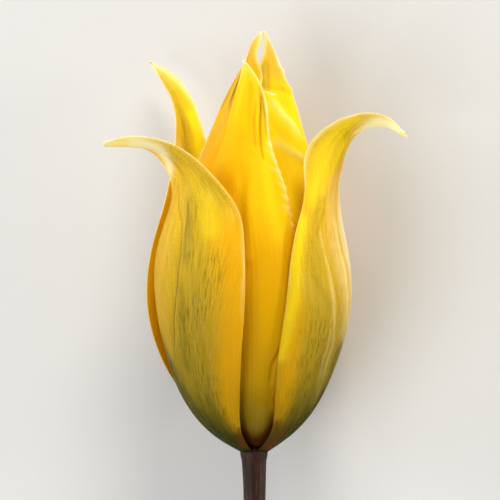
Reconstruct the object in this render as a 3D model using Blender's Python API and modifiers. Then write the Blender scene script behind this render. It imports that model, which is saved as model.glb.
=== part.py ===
"""A wild tulip, cut and lying on its back: six tepals, six stamens, a pistil and a bare stem.

Each piece is modelled in the flower's own frame. There +X is the flower's right, +Y runs along its
axis from the stem to the tips, and +Z points out of its front. An angle is measured round the axis
from the front, and grows towards the right. The empty "flower" lays it all down as it comes to rest.
"""

import math

import bmesh
import bpy
import numpy as np
from mathutils import Vector

MM = 0.001

# How the flower comes to rest on the surface: its turns in degrees, and where its base lies in
# millimetres, which puts the middle of the whole at the origin.
REST_ROLL = 15.3
REST_PITCH = -0.7
REST_PLACE = (-2.63, 25.7, 14.17)

TEPAL_THICKNESS = 0.4
TEPAL_ROWS = 22
TEPAL_COLUMNS = 10

STEM_LENGTH = 110.0
STEM_RADIUS = 1.55
STEM_FLARE_RADIUS = 1.85
STEM_DROOP = 13.4
STEM_SIDEWAYS = 3.0
STEM_FLARE_LENGTH = 9.0
STEM_TOP = -1.2
STEM_POINTS = 22
STEM_POINT_SPREAD = 1.4
STEM_SIDES = 12

# The seat under the outer tepals, and the core inside the inner ones, which carries the stamens.
GAP = 0.3
SEAT_RADIUS = 1.4
SEAT_TOP = 0.55
CORE_RADIUS = 0.85
CORE_TOP = 1.7
SHOULDER = 0.05

FILAMENT_RADIUS = 0.38
FILAMENT_TIP_RADIUS = 0.2
FILAMENT_SIDES = 8
FILAMENT_ROUTE = ((1.15, 2.05), (2.1, 3.5), (3.0, 5.6), (3.5, 8.0), (3.7, 10.4))
ANTHER_LENGTH = 6.0
ANTHER_WIDTH = 1.5
ANTHER_DEPTH = 1.15
ANTHER_SEGMENTS = 10
ANTHER_RINGS = 8
STAMEN_ANGLES = {
    "front_left": -50.0,
    "front_right": 60.0,
    "back": -172.0,
    "front": 4.0,
    "left": -108.0,
    "right": 124.0,
}

PISTIL_PROFILE = (
    (0.4, 2.0), (0.62, 2.6), (1.15, 3.8), (1.65, 5.6), (1.8, 8.0), (1.7, 10.5),
    (1.45, 12.8), (1.25, 14.0), (1.6, 14.8), (1.9, 15.6), (1.5, 16.2), (0.7, 16.3),
)
PISTIL_STEPS = 24
MERGE = 0.01
OVARY_RIDGE = 0.07
STIGMA_LOBE = 0.3
STIGMA_START = 14.0

# The three rails of each tepal run from its base to its tip along its left edge, its midrib and its
# right edge, as seen from outside. A point is its angle, its distance from the axis and its height.
TEPALS = {
    "outer_tepal_front_left": dict(
        finish="outer_tepal",
        left=[
            (-92, 2.1, 0.1), (-92, 5.9, 2.5), (-88, 10.0, 7.4), (-84, 12.6, 14.0),
            (-83, 14.2, 22.0), (-80, 13.8, 30.0), (-77, 12.1, 36.0), (-74, 12.6, 39.4),
            (-66, 15.8, 42.6), (-62, 20.6, 43.4), (-60.6, 24.4, 43.4),
        ],
        midrib=[
            (-50, 2.1, 0.0), (-49, 5.9, 2.2), (-47, 10.1, 6.6), (-45, 13.1, 13.6),
            (-44, 15.1, 21.6), (-45, 14.6, 29.8), (-50, 12.8, 36.0), (-54, 13.0, 40.0),
            (-58, 16.2, 42.9), (-60, 21.0, 43.9), (-60, 24.5, 43.6),
        ],
        right=[
            (-8, 2.1, 0.1), (-18, 5.4, 2.6), (-12, 9.7, 7.6), (-8, 12.7, 14.4),
            (-5.2, 14.3, 22.0), (-6, 13.6, 30.8), (-18, 12.1, 37.0), (-40, 12.9, 41.8),
            (-51.5, 16.4, 44.3), (-57.5, 21.2, 44.8), (-59.4, 24.5, 43.95),
        ],
    ),
    "outer_tepal_front_right": dict(
        finish="outer_tepal",
        left=[
            (12, 2.1, 0.1), (26, 5.1, 2.6), (18, 9.5, 7.6), (16.2, 12.5, 14.4),
            (19, 14.0, 22.0), (25.5, 13.4, 31.0), (37.5, 11.8, 37.8), (42.5, 11.1, 43.3),
            (53, 15.7, 47.5), (59, 21.2, 47.8), (60.8, 24.2, 45.1),
        ],
        midrib=[
            (60, 2.1, 0.0), (58, 5.4, 2.2), (55, 9.5, 6.6), (53, 12.7, 13.6),
            (52.5, 14.5, 21.6), (50, 13.3, 30.2), (56, 12.2, 36.8), (60, 13.1, 42.2),
            (62, 16.0, 46.4), (61.5, 20.6, 47.3), (61.5, 24.3, 44.7),
        ],
        right=[
            (108, 2.1, 0.1), (98, 5.1, 2.6), (94, 9.1, 7.4), (96, 12.2, 14.0),
            (98, 14.1, 22.0), (94, 13.3, 30.0), (86, 12.3, 36.2), (80, 12.9, 41.2),
            (70, 15.6, 45.3), (64, 20.6, 46.2), (62.5, 24.2, 44.5),
        ],
    ),
    "outer_tepal_back": dict(
        finish="outer_tepal",
        left=[
            (-228, 2.1, 0.1), (-212, 5.2, 2.6), (-194, 9.8, 7.4), (-178, 13.1, 14.0),
            (-172, 15.1, 22.0), (-169, 14.3, 30.0), (-160, 12.6, 37.0), (-148, 12.4, 43.6),
            (-143, 14.5, 50.2), (-138, 17.2, 54.2), (-133.5, 20.6, 56.3),
        ],
        midrib=[
            (-172, 2.1, 0.0), (-164, 5.7, 2.2), (-152, 10.1, 6.6), (-143, 13.6, 13.6),
            (-138, 15.6, 21.6), (-136, 15.2, 29.8), (-134, 13.4, 36.6), (-132, 12.8, 43.2),
            (-131, 15.0, 50.2), (-133, 18.1, 53.8), (-133, 20.7, 56.1),
        ],
        right=[
            (-118, 2.1, 0.1), (-118, 5.2, 2.6), (-106, 9.8, 7.4), (-96, 13.6, 14.0),
            (-93, 15.4, 22.0), (-93, 14.5, 30.0), (-95, 12.75, 36.4), (-107, 12.0, 43.9),
            (-126, 14.6, 50.4), (-131, 17.9, 53.6), (-132.5, 20.6, 56.2),
        ],
    ),
    "inner_tepal_front": dict(
        finish="inner_tepal",
        left=[
            (-45, 1.5, 1.0), (-42, 4.0, 3.2), (-40, 8.2, 7.4), (-42, 11.1, 14.0),
            (-41, 12.6, 22.0), (-41, 11.9, 30.0), (-44, 10.1, 37.4), (-40, 7.0, 44.6),
            (-37, 4.9, 50.0), (-36, 3.4, 53.6), (-38, 2.4, 56.0),
        ],
        midrib=[
            (4, 1.5, 0.9), (5, 4.3, 2.8), (5, 8.2, 7.0), (6, 11.2, 14.0),
            (6, 13.0, 22.0), (4, 12.6, 30.0), (-2, 10.8, 37.4), (-10, 8.2, 44.6),
            (-12, 5.7, 50.0), (-14, 3.9, 53.6), (-34, 2.6, 56.1),
        ],
        right=[
            (50, 1.5, 1.0), (46, 3.9, 3.2), (34, 7.8, 7.4), (28, 10.6, 14.0),
            (36, 12.3, 22.0), (32, 11.2, 30.0), (28, 9.6, 37.4), (17, 7.8, 44.6),
            (19, 5.4, 50.0), (6, 3.6, 53.6), (-31, 2.6, 56.0),
        ],
    ),
    "inner_tepal_left": dict(
        finish="inner_tepal",
        left=[
            (-161, 1.5, 1.0), (-156, 4.0, 3.2), (-150, 8.4, 7.4), (-150, 11.6, 14.0),
            (-150, 12.6, 22.0), (-150, 11.6, 30.0), (-152, 9.4, 37.4), (-154, 6.6, 44.6),
            (-158, 4.2, 50.0), (-165, 2.2, 54.2), (-130, 0.8, 56.6), (110, 0.5, 58.7),
            (88, 1.3, 60.1),
        ],
        midrib=[
            (-112, 1.5, 0.9), (-106, 4.3, 2.8), (-100, 8.6, 7.0), (-98, 11.8, 14.0),
            (-98, 12.9, 22.0), (-98, 12.1, 30.0), (-98, 9.9, 37.4), (-98, 6.8, 44.6),
            (-98, 4.5, 50.0), (-95, 2.3, 54.2), (-72, 1.1, 56.6), (-35, 0.55, 58.7),
            (80, 1.4, 60.2),
        ],
        right=[
            (-65, 1.5, 1.0), (-56, 4.0, 3.2), (-52, 8.0, 7.4), (-50, 11.0, 14.0),
            (-48, 12.0, 22.0), (-48, 11.2, 30.0), (-46, 9.0, 37.4), (-40, 6.2, 44.6),
            (-5, 4.1, 50.0), (23, 2.8, 54.2), (12, 1.6, 56.6), (42, 1.3, 58.7),
            (72, 1.5, 60.2),
        ],
    ),
    "inner_tepal_right": dict(
        finish="inner_tepal",
        left=[
            (73, 1.5, 1.0), (72, 3.9, 3.2), (78, 7.9, 7.4), (62, 10.9, 14.0),
            (46, 11.7, 22.0), (31, 10.4, 30.0), (20, 8.5, 37.4), (8, 6.3, 44.6),
            (12, 3.5, 50.0), (12, 1.2, 54.0), (82, 1.6, 56.9), (98, 1.85, 60.2),
        ],
        midrib=[
            (126, 1.5, 0.9), (128, 4.3, 2.8), (130, 8.9, 7.0), (129, 12.7, 14.0),
            (126, 14.2, 22.0), (119, 13.0, 30.0), (106, 10.2, 37.4), (98, 7.6, 44.6),
            (96, 5.95, 50.0), (98, 4.2, 54.4), (102, 3.2, 57.2), (105, 1.95, 60.3),
        ],
        right=[
            (179, 1.5, 1.0), (174, 4.0, 3.2), (174, 8.6, 7.4), (180, 12.0, 14.0),
            (184, 13.6, 22.0), (184, 12.5, 30.0), (176, 10.0, 37.4), (174, 7.2, 44.6),
            (168, 4.6, 50.0), (160, 2.6, 54.4), (128, 2.1, 57.2), (112, 2.05, 60.2),
        ],
    ),
}

FINISHES = {
    "outer_tepal": dict(colour=(0.62, 0.42, 0.06), roughness=0.5),
    "inner_tepal": dict(colour=(0.9, 0.55, 0.01), roughness=0.45),
    "filament": dict(colour=(0.85, 0.6, 0.05), roughness=0.5),
    "anther": dict(colour=(0.8, 0.5, 0.03), roughness=0.8),
    "pistil": dict(colour=(0.45, 0.5, 0.12), roughness=0.45),
    "stem": dict(colour=(0.06, 0.025, 0.02), roughness=0.5),
}


def clear_scene():
    for thing in list(bpy.data.objects):
        bpy.data.objects.remove(thing)


def make_collection(name):
    collection = bpy.data.collections.new(name)
    bpy.context.scene.collection.children.link(collection)
    return collection


def make_material(name, colour, roughness):
    material = bpy.data.materials.new(name)
    material.use_nodes = True
    shader = material.node_tree.nodes["Principled BSDF"]
    shader.inputs["Base Color"].default_value = (*colour, 1.0)
    shader.inputs["Roughness"].default_value = roughness
    shader.inputs["Metallic"].default_value = 0.0
    material.diffuse_color = (*colour, 1.0)
    return material


def around_axis(angle, radius, height):
    turn = math.radians(angle)
    return np.array([radius * math.sin(turn), height, radius * math.cos(turn)])


def smooth_rail(points, knots, places):
    """Reads a natural cubic spline, which passes through the points at the knots, at the places."""
    last = len(points) - 1
    step = np.diff(knots)
    system = np.zeros((last + 1, last + 1))
    pull = np.zeros((last + 1, 3))
    system[0, 0] = system[last, last] = 1.0
    for i in range(1, last):
        system[i, i - 1:i + 2] = (step[i - 1], 2 * (step[i - 1] + step[i]), step[i])
        pull[i] = 6 * ((points[i + 1] - points[i]) / step[i] - (points[i] - points[i - 1]) / step[i - 1])
    bend = np.linalg.solve(system, pull)
    span = np.clip(np.searchsorted(knots, places, side="right") - 1, 0, last - 1)
    after = ((places - knots[span]) / step[span])[:, None]
    before = 1.0 - after
    width = step[span][:, None] ** 2 / 6
    straight = before * points[span] + after * points[span + 1]
    curved = (before ** 3 - before) * bend[span] + (after ** 3 - after) * bend[span + 1]
    return straight + curved * width


def tepal_surface(rails, rows, columns):
    """Points of a tepal's outer face: a parabola through the three rails at each row."""
    midrib = np.array([around_axis(*point) for point in rails["midrib"]])
    lengths = np.linalg.norm(np.diff(midrib, axis=0), axis=1)
    knots = np.concatenate([[0.0], np.cumsum(lengths)])
    places = np.linspace(0.0, knots[-1], rows + 1)
    left, middle, right = (
        smooth_rail(np.array([around_axis(*point) for point in rails[side]]), knots, places)[:, None]
        for side in ("left", "midrib", "right")
    )
    across = np.linspace(-1.0, 1.0, columns + 1)[None, :, None]
    to_left = across * (across - 1) / 2
    to_right = across * (across + 1) / 2
    return left * to_left + middle * (1 - across ** 2) + right * to_right


def add_object(name, data, material, collection, flower):
    thing = bpy.data.objects.new(name, data)
    data.materials.append(material)
    collection.objects.link(thing)
    thing.parent = flower
    return thing


def mesh_from(name, shape):
    shape.normal_update()
    bmesh.ops.recalc_face_normals(shape, faces=shape.faces)
    mesh = bpy.data.meshes.new(name)
    shape.to_mesh(mesh)
    shape.free()
    mesh.shade_smooth()
    return mesh


def make_tepal(name, rails, material, collection, flower):
    surface = tepal_surface(rails, TEPAL_ROWS, TEPAL_COLUMNS) * MM
    shape = bmesh.new()
    bmesh.ops.create_grid(shape, x_segments=TEPAL_COLUMNS, y_segments=TEPAL_ROWS, size=1.0)
    for vertex in shape.verts:
        column = round((vertex.co.x + 1) / 2 * TEPAL_COLUMNS)
        row = round((vertex.co.y + 1) / 2 * TEPAL_ROWS)
        vertex.co = surface[row, column]
    mesh = bpy.data.meshes.new(name)
    shape.to_mesh(mesh)
    shape.free()
    mesh.shade_smooth()
    tepal = add_object(name, mesh, material, collection, flower)
    wall = tepal.modifiers.new("thickness", "SOLIDIFY")
    wall.thickness = TEPAL_THICKNESS * MM
    wall.offset = -1.0
    return tepal


def make_tube(name, route, radii, sides, material, collection, flower):
    """A tube along a route of points, with a radius at each."""
    curve = bpy.data.curves.new(name, "CURVE")
    curve.dimensions = "3D"
    curve.bevel_depth = 1.0
    curve.bevel_resolution = sides // 2 - 2
    curve.use_fill_caps = True
    spline = curve.splines.new("POLY")
    spline.points.add(len(route) - 1)
    for point, place, radius in zip(spline.points, route, radii):
        point.co = (*(Vector(place) * MM), 1.0)
        point.radius = radius * MM
    spline.use_smooth = True
    return add_object(name, curve, material, collection, flower)


def stem_route():
    """Centre line and radii from the cut end up to the core that carries the stamens."""
    route = []
    radii = []
    for i in range(STEM_POINTS):
        along = 1.0 - i / (STEM_POINTS - 1)
        height = STEM_TOP - STEM_LENGTH * along ** STEM_POINT_SPREAD
        reach = -height / STEM_LENGTH
        route.append((STEM_SIDEWAYS * reach ** 2, height, -STEM_DROOP * reach ** 2))
        flare = max(0.0, 1.0 + height / STEM_FLARE_LENGTH) ** 2
        radii.append(STEM_RADIUS + (STEM_FLARE_RADIUS - STEM_RADIUS) * flare)
    for height, radius in (
        (-GAP, STEM_FLARE_RADIUS),
        (-GAP + SHOULDER, SEAT_RADIUS),
        (SEAT_TOP, SEAT_RADIUS),
        (SEAT_TOP + SHOULDER, CORE_RADIUS),
        (CORE_TOP, CORE_RADIUS),
    ):
        route.append((0.0, height, 0.0))
        radii.append(radius)
    return route, radii


def make_filament(name, angle, material, collection, flower):
    last = len(FILAMENT_ROUTE) - 1
    route = [around_axis(angle, radius, height) for radius, height in FILAMENT_ROUTE]
    radii = [FILAMENT_RADIUS + (FILAMENT_TIP_RADIUS - FILAMENT_RADIUS) * i / last for i in range(last + 1)]
    return make_tube(name, route, radii, FILAMENT_SIDES, material, collection, flower)


def make_anther(name, angle, material, collection, flower):
    radius, height = FILAMENT_ROUTE[-1]
    centre = Vector(around_axis(angle, radius, height + GAP + ANTHER_LENGTH / 2))
    shape = bmesh.new()
    bmesh.ops.create_uvsphere(shape, u_segments=ANTHER_SEGMENTS, v_segments=ANTHER_RINGS, radius=0.5)
    size = Vector((ANTHER_WIDTH, ANTHER_DEPTH, ANTHER_LENGTH))
    turn = math.radians(angle)
    side = Vector((-math.cos(turn), 0.0, math.sin(turn)))
    out = Vector((math.sin(turn), 0.0, math.cos(turn)))
    up = Vector((0.0, 1.0, 0.0))
    for vertex in shape.verts:
        local = vertex.co * size
        vertex.co = (centre + side * local.x + out * local.y + up * local.z) * MM
    return add_object(name, mesh_from(name, shape), material, collection, flower)


def make_pistil(name, material, collection, flower):
    """A three-sided ovary under a stigma of three lobes, turned from one profile."""
    shape = bmesh.new()
    profile = [(0.0, PISTIL_PROFILE[0][1]), *PISTIL_PROFILE, (0.0, PISTIL_PROFILE[-1][1])]
    verts = [shape.verts.new((radius * MM, height * MM, 0.0)) for radius, height in profile]
    edges = [shape.edges.new(pair) for pair in zip(verts, verts[1:])]
    bmesh.ops.spin(
        shape, geom=verts + edges, axis=(0.0, 1.0, 0.0), cent=(0.0, 0.0, 0.0),
        steps=PISTIL_STEPS, angle=math.tau, use_merge=True, use_duplicate=False,
    )
    bmesh.ops.remove_doubles(shape, verts=shape.verts, dist=MERGE * MM)
    for vertex in shape.verts:
        angle = math.atan2(vertex.co.x, vertex.co.z)
        lobe = STIGMA_LOBE if vertex.co.y > STIGMA_START * MM else OVARY_RIDGE
        swell = 1.0 + lobe * math.cos(3 * angle)
        vertex.co.x *= swell
        vertex.co.z *= swell
    return add_object(name, mesh_from(name, shape), material, collection, flower)


def lay_down():
    """The empty that every piece follows: it turns the flower to the way that it lies."""
    flower = bpy.data.objects.new("flower", None)
    bpy.context.scene.collection.objects.link(flower)
    flower.rotation_euler = (math.radians(REST_PITCH), math.radians(REST_ROLL), 0.0)
    flower.location = Vector(REST_PLACE) * MM
    return flower


def main():
    clear_scene()
    collection = make_collection("wild_tulip")
    materials = {name: make_material(name, **finish) for name, finish in FINISHES.items()}
    flower = lay_down()
    for name, tepal in TEPALS.items():
        make_tepal(name, tepal, materials[tepal["finish"]], collection, flower)
    for place, angle in STAMEN_ANGLES.items():
        make_filament(f"filament_{place}", angle, materials["filament"], collection, flower)
        make_anther(f"anther_{place}", angle, materials["anther"], collection, flower)
    make_pistil("pistil", materials["pistil"], collection, flower)
    route, radii = stem_route()
    make_tube("stem", route, radii, STEM_SIDES, materials["stem"], collection, flower)
    bpy.context.view_layer.update()


main()
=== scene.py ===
import math

import bmesh
import bpy
import numpy as np
from mathutils import Euler, Matrix, Vector


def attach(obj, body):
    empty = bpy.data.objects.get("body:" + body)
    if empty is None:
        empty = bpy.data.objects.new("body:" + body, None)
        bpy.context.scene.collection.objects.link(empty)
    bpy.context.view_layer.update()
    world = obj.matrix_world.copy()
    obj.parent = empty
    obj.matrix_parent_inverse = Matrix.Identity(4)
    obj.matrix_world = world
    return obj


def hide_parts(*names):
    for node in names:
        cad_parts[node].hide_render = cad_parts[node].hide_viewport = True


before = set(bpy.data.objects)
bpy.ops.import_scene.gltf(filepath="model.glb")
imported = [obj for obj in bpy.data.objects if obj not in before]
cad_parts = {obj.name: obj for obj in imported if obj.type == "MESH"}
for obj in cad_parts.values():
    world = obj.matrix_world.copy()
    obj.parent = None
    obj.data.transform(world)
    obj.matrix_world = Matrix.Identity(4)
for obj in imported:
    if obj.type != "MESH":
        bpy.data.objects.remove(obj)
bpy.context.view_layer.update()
print("frame loaded with", len(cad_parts), "nodes")

mm = 0.001

# The flower lies on its back. In its own frame +X is its right, +Y runs from the stem to the tips
# and +Z comes out of its front. Angles go round the axis from the front towards the right.
flower = {
    "roll": 15.3,  # degrees that the front leans to the right
    "pitch": -0.7,  # degrees that the tips dip
    "place": (-2.63, 25.7, 14.17),  # mm, where the petals' base lies
    "touch": 0.02,  # mm that every petal keeps above the table
}
turned = Euler((math.radians(flower["pitch"]), math.radians(flower["roll"]), 0.0)).to_matrix()
laidDown = Matrix.Translation(Vector(flower["place"]) * mm) @ turned.to_4x4()


def layDown(points):
    placed = np.asarray(points) @ np.array(turned).T + np.array(flower["place"])
    placed[..., 2] = np.maximum(placed[..., 2], flower["touch"])  # what touches the table is pressed flat
    return placed * mm


def aroundAxis(angle, radius, height):
    turn = math.radians(angle)
    return np.array([radius * math.sin(turn), height, radius * math.cos(turn)])


# Camera, table and lights
view = {
    "distance": 800.0,  # mm from the flower's axis to the camera
    "side": 71.5,  # mm of the axis plane that the picture takes in
    "middle": (-0.57, 28.89),  # mm right of the axis and up it
    "sensor": 36.0,
}


def makeCamera():
    lens = bpy.data.cameras.new("camera")
    lens.sensor_width = view["sensor"]
    lens.lens = view["sensor"] * view["distance"] / view["side"]
    lens.clip_start = 0.05
    lens.clip_end = 20.0
    camera = bpy.data.objects.new("camera", lens)
    bpy.context.scene.collection.objects.link(camera)
    camera.matrix_world = laidDown @ Matrix.Translation(Vector((*view["middle"], view["distance"])) * mm)
    bpy.context.scene.camera = camera


def linear(hexColour):
    channels = [int(hexColour[i:i + 2], 16) / 255 for i in (1, 3, 5)]
    return (*(c / 12.92 if c <= 0.04045 else ((c + 0.055) / 1.055) ** 2.4 for c in channels), 1.0)


def addNode(tree, kind, links=None, **settings):
    node = tree.nodes.new(kind)
    for name, value in settings.items():
        setattr(node, name, value)
    for socket, source in (links or {}).items():
        if isinstance(source, bpy.types.NodeSocket):
            tree.links.new(source, node.inputs[socket])
        else:
            node.inputs[socket].default_value = source
    return node


def newMaterial(name):
    material = bpy.data.materials.new(name)
    material.use_nodes = True
    material.node_tree.nodes.clear()
    return material, material.node_tree


table = {"side": 6.0, "colour": "#cbcac6", "roughness": 0.75, "grain": 3.0, "relief": 0.02}


def paintedBoard():  # matt emulsion paint on board: pale, no gloss, a faint roller grain
    material, tree = newMaterial("matt paint")
    place = addNode(tree, "ShaderNodeTexCoord").outputs["Object"]
    roller = addNode(tree, "ShaderNodeTexNoise", {"Vector": place, "Scale": 1 / (table["grain"] * mm), "Detail": 2.0})
    bump = addNode(tree, "ShaderNodeBump", {"Height": roller.outputs["Fac"], "Distance": table["relief"] * mm})
    shader = addNode(tree, "ShaderNodeBsdfPrincipled", {
        "Base Color": linear(table["colour"]),
        "Roughness": table["roughness"],
        "Normal": bump.outputs["Normal"],
    })
    addNode(tree, "ShaderNodeOutputMaterial", {"Surface": shader.outputs[0]})
    return material


def makeTable():
    shape = bmesh.new()
    bmesh.ops.create_grid(shape, x_segments=1, y_segments=1, size=table["side"] / 2)
    mesh = bpy.data.meshes.new("table")
    shape.to_mesh(mesh)
    shape.free()
    mesh.materials.append(paintedBoard())
    board = bpy.data.objects.new("table", mesh)
    bpy.context.scene.collection.objects.link(board)


lights = {
    "window": {"place": (0.50, 1.35, 0.70), "size": 0.80, "power": 26.0, "colour": "#fffbf4"},
    "edge": {"place": (1.15, 0.20, 0.22), "size": 0.40, "power": 7.5, "colour": "#fffbf4"},
    "fill": {"place": (-0.70, -0.60, 1.20), "size": 1.20, "power": 14.0, "colour": "#f8f9ff"},
    "left": {"place": (-1.20, 0.40, 0.24), "size": 0.50, "power": 9.0, "colour": "#fbfbff"},
}
sky = {"colour": "#f6f8fa", "strength": 0.40}


def makeLights():
    target = laidDown @ Vector((0.0, 28.0 * mm, 0.0))
    for name, light in lights.items():
        lamp = bpy.data.lights.new(name, "AREA")
        lamp.shape = "DISK"
        lamp.size = light["size"]
        lamp.energy = light["power"]
        lamp.color = linear(light["colour"])[:3]
        thing = bpy.data.objects.new(name, lamp)
        bpy.context.scene.collection.objects.link(thing)
        thing.location = light["place"]
        thing.rotation_euler = (target - Vector(light["place"])).to_track_quat("-Z", "Y").to_euler()
        thing.visible_camera = False
    world = bpy.data.worlds.new("sky")
    bpy.context.scene.world = world
    world.use_nodes = True
    background = world.node_tree.nodes["Background"]
    background.inputs["Color"].default_value = linear(sky["colour"])
    background.inputs["Strength"].default_value = sky["strength"]
    bpy.context.scene.view_settings.view_transform = "Standard"


makeCamera()
makeTable()
makeLights()
print("camera, table and lights are in place")


# Petals. Each is a sheet on three rails, its left edge, midrib and right edge as seen from outside.
# A rail's point is its angle, its distance from the axis and its height, from the base to the tip.
# Folds and washes are strokes along a path of (share of the length, share of the half width).
petalMesh = {
    "rows": 250, "tipRows": 22, "tipShare": 0.02,  # the last rows are packed into the tip
    "knob": 0.26,  # mm, radius of the small callus that ends every petal
    "marginWash": "creamAndHighlight", "marginWidth": 0.2,  # mm, the thin margins, painted paler as painted rim light
}


def smoothRail(points, knots, places):  # natural cubic spline through the points
    last = len(points) - 1
    step = np.diff(knots)
    system = np.zeros((last + 1, last + 1))
    pull = np.zeros((last + 1, 3))
    system[0, 0] = system[last, last] = 1.0
    for i in range(1, last):
        system[i, i - 1:i + 2] = (step[i - 1], 2 * (step[i - 1] + step[i]), step[i])
        pull[i] = 6 * ((points[i + 1] - points[i]) / step[i] - (points[i] - points[i - 1]) / step[i - 1])
    bend = np.linalg.solve(system, pull)
    span = np.clip(np.searchsorted(knots, places, side="right") - 1, 0, last - 1)
    after = ((places - knots[span]) / step[span])[:, None]
    before = 1.0 - after
    width = step[span][:, None] ** 2 / 6
    straight = before * points[span] + after * points[span + 1]
    return straight + ((before ** 3 - before) * bend[span] + (after ** 3 - after) * bend[span + 1]) * width


def petalSheet(petal):  # the outer face's points, row by row, and each point's place on the petal
    rows, columns = petalMesh["rows"], petal["columns"]
    rails = {side: np.array([aroundAxis(*point) for point in petal[side]]) for side in ("left", "midrib", "right")}
    knots = np.concatenate([[0.0], np.cumsum(np.linalg.norm(np.diff(rails["midrib"], axis=0), axis=1))])
    body = np.linspace(0.0, 1 - petalMesh["tipShare"], rows + 1 - petalMesh["tipRows"])
    along = np.concatenate([body, np.linspace(body[-1], 1.0, petalMesh["tipRows"] + 1)[1:]])
    left, middle, right = (smoothRail(rails[side], knots, along * knots[-1])[:, None] for side in rails)
    across = np.repeat(np.linspace(-1.0, 1.0, columns + 1)[None, :], rows + 1, axis=0)
    v = across[..., None]
    points = left * v * (v - 1) / 2 + middle * (1 - v * v) + right * v * (v + 1) / 2
    width = np.linalg.norm(np.diff(points, axis=1), axis=2).sum(axis=1)
    fromEnd = (1 - along) * knots[-1] / petalMesh["knob"]
    round = 2 * petalMesh["knob"] * np.sqrt(np.clip(1 - (fromEnd - 1) ** 2, 0.0, 1.0)) + 0.04
    scale = np.where(fromEnd < 1, round, np.maximum(width, round)) / width
    points = middle + (points - middle) * scale[:, None, None]
    width = width * scale
    place = {
        "along": np.repeat(along[:, None], columns + 1, axis=1),
        "across": across,
        "length": knots[-1],
        "halfWidth": width / 2,
        "x": across * width[:, None] / 2,  # mm from the midrib
        "y": np.repeat(along[:, None], columns + 1, axis=1) * knots[-1],  # mm from the base
    }
    place["edge"] = (1 - np.abs(across)) * width[:, None] / 2  # mm from the nearest margin
    return points, place


def outwardNormals(points):
    down = np.gradient(points, axis=0)
    over = np.gradient(points, axis=1)
    normals = np.cross(over, down)
    normals /= np.linalg.norm(normals, axis=2, keepdims=True)
    third, half = points.shape[0] // 3, points.shape[1] // 2
    outward = points[third, half] * (1, 0, 1) @ normals[third, half]
    return normals * math.copysign(1.0, outward)


def strokeCover(place, stroke):  # 1 on the stroke's path, and less further off it
    path = np.array(stroke["path"], float)
    steps = np.linspace(0.0, 1.0, len(path))
    strength, width = (
        np.interp(steps, np.linspace(0.0, 1.0, len(values)), values)
        for values in (stroke.get("strength", (1.0, 1.0)), stroke["width"])
    )
    pathX = path[:, 1] * np.interp(path[:, 0], place["along"][:, 0], place["halfWidth"])
    pathY = path[:, 0] * place["length"]
    cover = np.zeros(place["x"].shape)
    for i in range(len(path) - 1):
        stepX, stepY = pathX[i + 1] - pathX[i], pathY[i + 1] - pathY[i]
        offX, offY = place["x"] - pathX[i], place["y"] - pathY[i]
        part = np.clip((offX * stepX + offY * stepY) / (stepX ** 2 + stepY ** 2), 0.0, 1.0)
        gap = np.hypot(offX - part * stepX, offY - part * stepY)
        wide = width[i] + (width[i + 1] - width[i]) * part
        strong = strength[i] + (strength[i + 1] - strength[i]) * part
        cover = np.maximum(cover, strong * np.exp(-(gap / wide) ** 2))
    return cover


def wobble(x, y, seed, waves=9):  # smooth noise of about -1 to 1, from a few sine waves
    draw = np.random.default_rng(seed)
    total = np.zeros(np.broadcast(x, y).shape)
    for _ in range(waves):
        turn, shift = draw.uniform(0.0, math.tau, 2)
        pace = math.tau * draw.uniform(0.6, 1.5)
        total += np.sin(pace * (x * math.cos(turn) + y * math.sin(turn)) + shift)
    return total / math.sqrt(waves)


def ease(value, low, high):
    share = np.clip((value - low) / (high - low), 0.0, 1.0)
    return share * share * (3 - 2 * share)


def petalRelief(petal, place):  # mm that the outer face stands out from its rails
    fade = ease(place["edge"], 0.0, 2.0) * ease(place["y"], 1.0, 8.0) * ease(1 - place["along"], 0.03, 0.2)
    lane = place["across"] * place["halfWidth"].max()
    relief = petal["waviness"] * fade * wobble(place["x"] / 6, place["y"] / 14, petal["seed"])
    for wide, long, height in petal["ribs"]:
        relief += height * fade * wobble(lane / wide, place["y"] / long, petal["seed"] + round(9 * wide), 15)
    for fold in petal["folds"]:
        relief += fold["height"] * strokeCover(place, fold)
    for crimp in petal.get("crimps", []):
        for pleat in crimps(crimp):
            relief += crimp["height"] * strokeCover(place, pleat)
    for ruffle in petal["ruffles"]:
        near = np.exp(-((1 - ruffle["side"] * place["across"]) * place["halfWidth"][:, None] / ruffle["reach"]) ** 2)
        stretch = ease(place["along"], ruffle["from"], ruffle["from"] + 0.04)
        stretch = stretch * ease(-place["along"], -ruffle["to"], -ruffle["to"] + 0.04)
        beat = place["y"] / ruffle["wave"] + 0.3 * wobble(place["y"] / (3 * ruffle["wave"]), 0.0, petal["seed"] + 2)
        relief += ruffle["height"] * near * stretch * np.sin(math.tau * beat)
    return relief


def crimps(crimp):  # short pleats that run in from a margin, as on a petal that dried a little at its edge
    draw = np.random.default_rng(crimp["seed"])
    at, strokes = crimp["from"], []
    while at < crimp["to"]:
        long = crimp["reach"] * draw.uniform(0.5, 1.2)
        tail = (at + crimp["slope"] * draw.uniform(0.6, 1.4), crimp["side"] * (0.99 - long))
        strong = draw.uniform(0.4, 1.0)
        strokes.append({"path": [(at, crimp["side"] * 0.99), tail], "width": (0.36, 0.22), "strength": (strong, 0.1)})
        at += crimp["gap"] * draw.uniform(0.7, 1.4)
    return strokes


def petalWall(petal, place):  # mm, thick at the base and midrib and thin at the margins
    margin = petal["wall"]["margin"]
    body = petal["wall"]["body"] * (1 - 0.3 * place["along"])
    tip = petal["wall"]["tip"] * ease(place["along"], 0.984, 0.994)
    return margin + (body - margin) * ease(place["edge"], 0.0, 3.5) + tip


# Several washes paint light and shade into the colour. The amber, khaki, shade and olive strokes are partly painted
# shade. The lemon, cream and white strokes are partly painted highlights and painted rim light. Some vein strokes are
# painted shadow lines.
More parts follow.
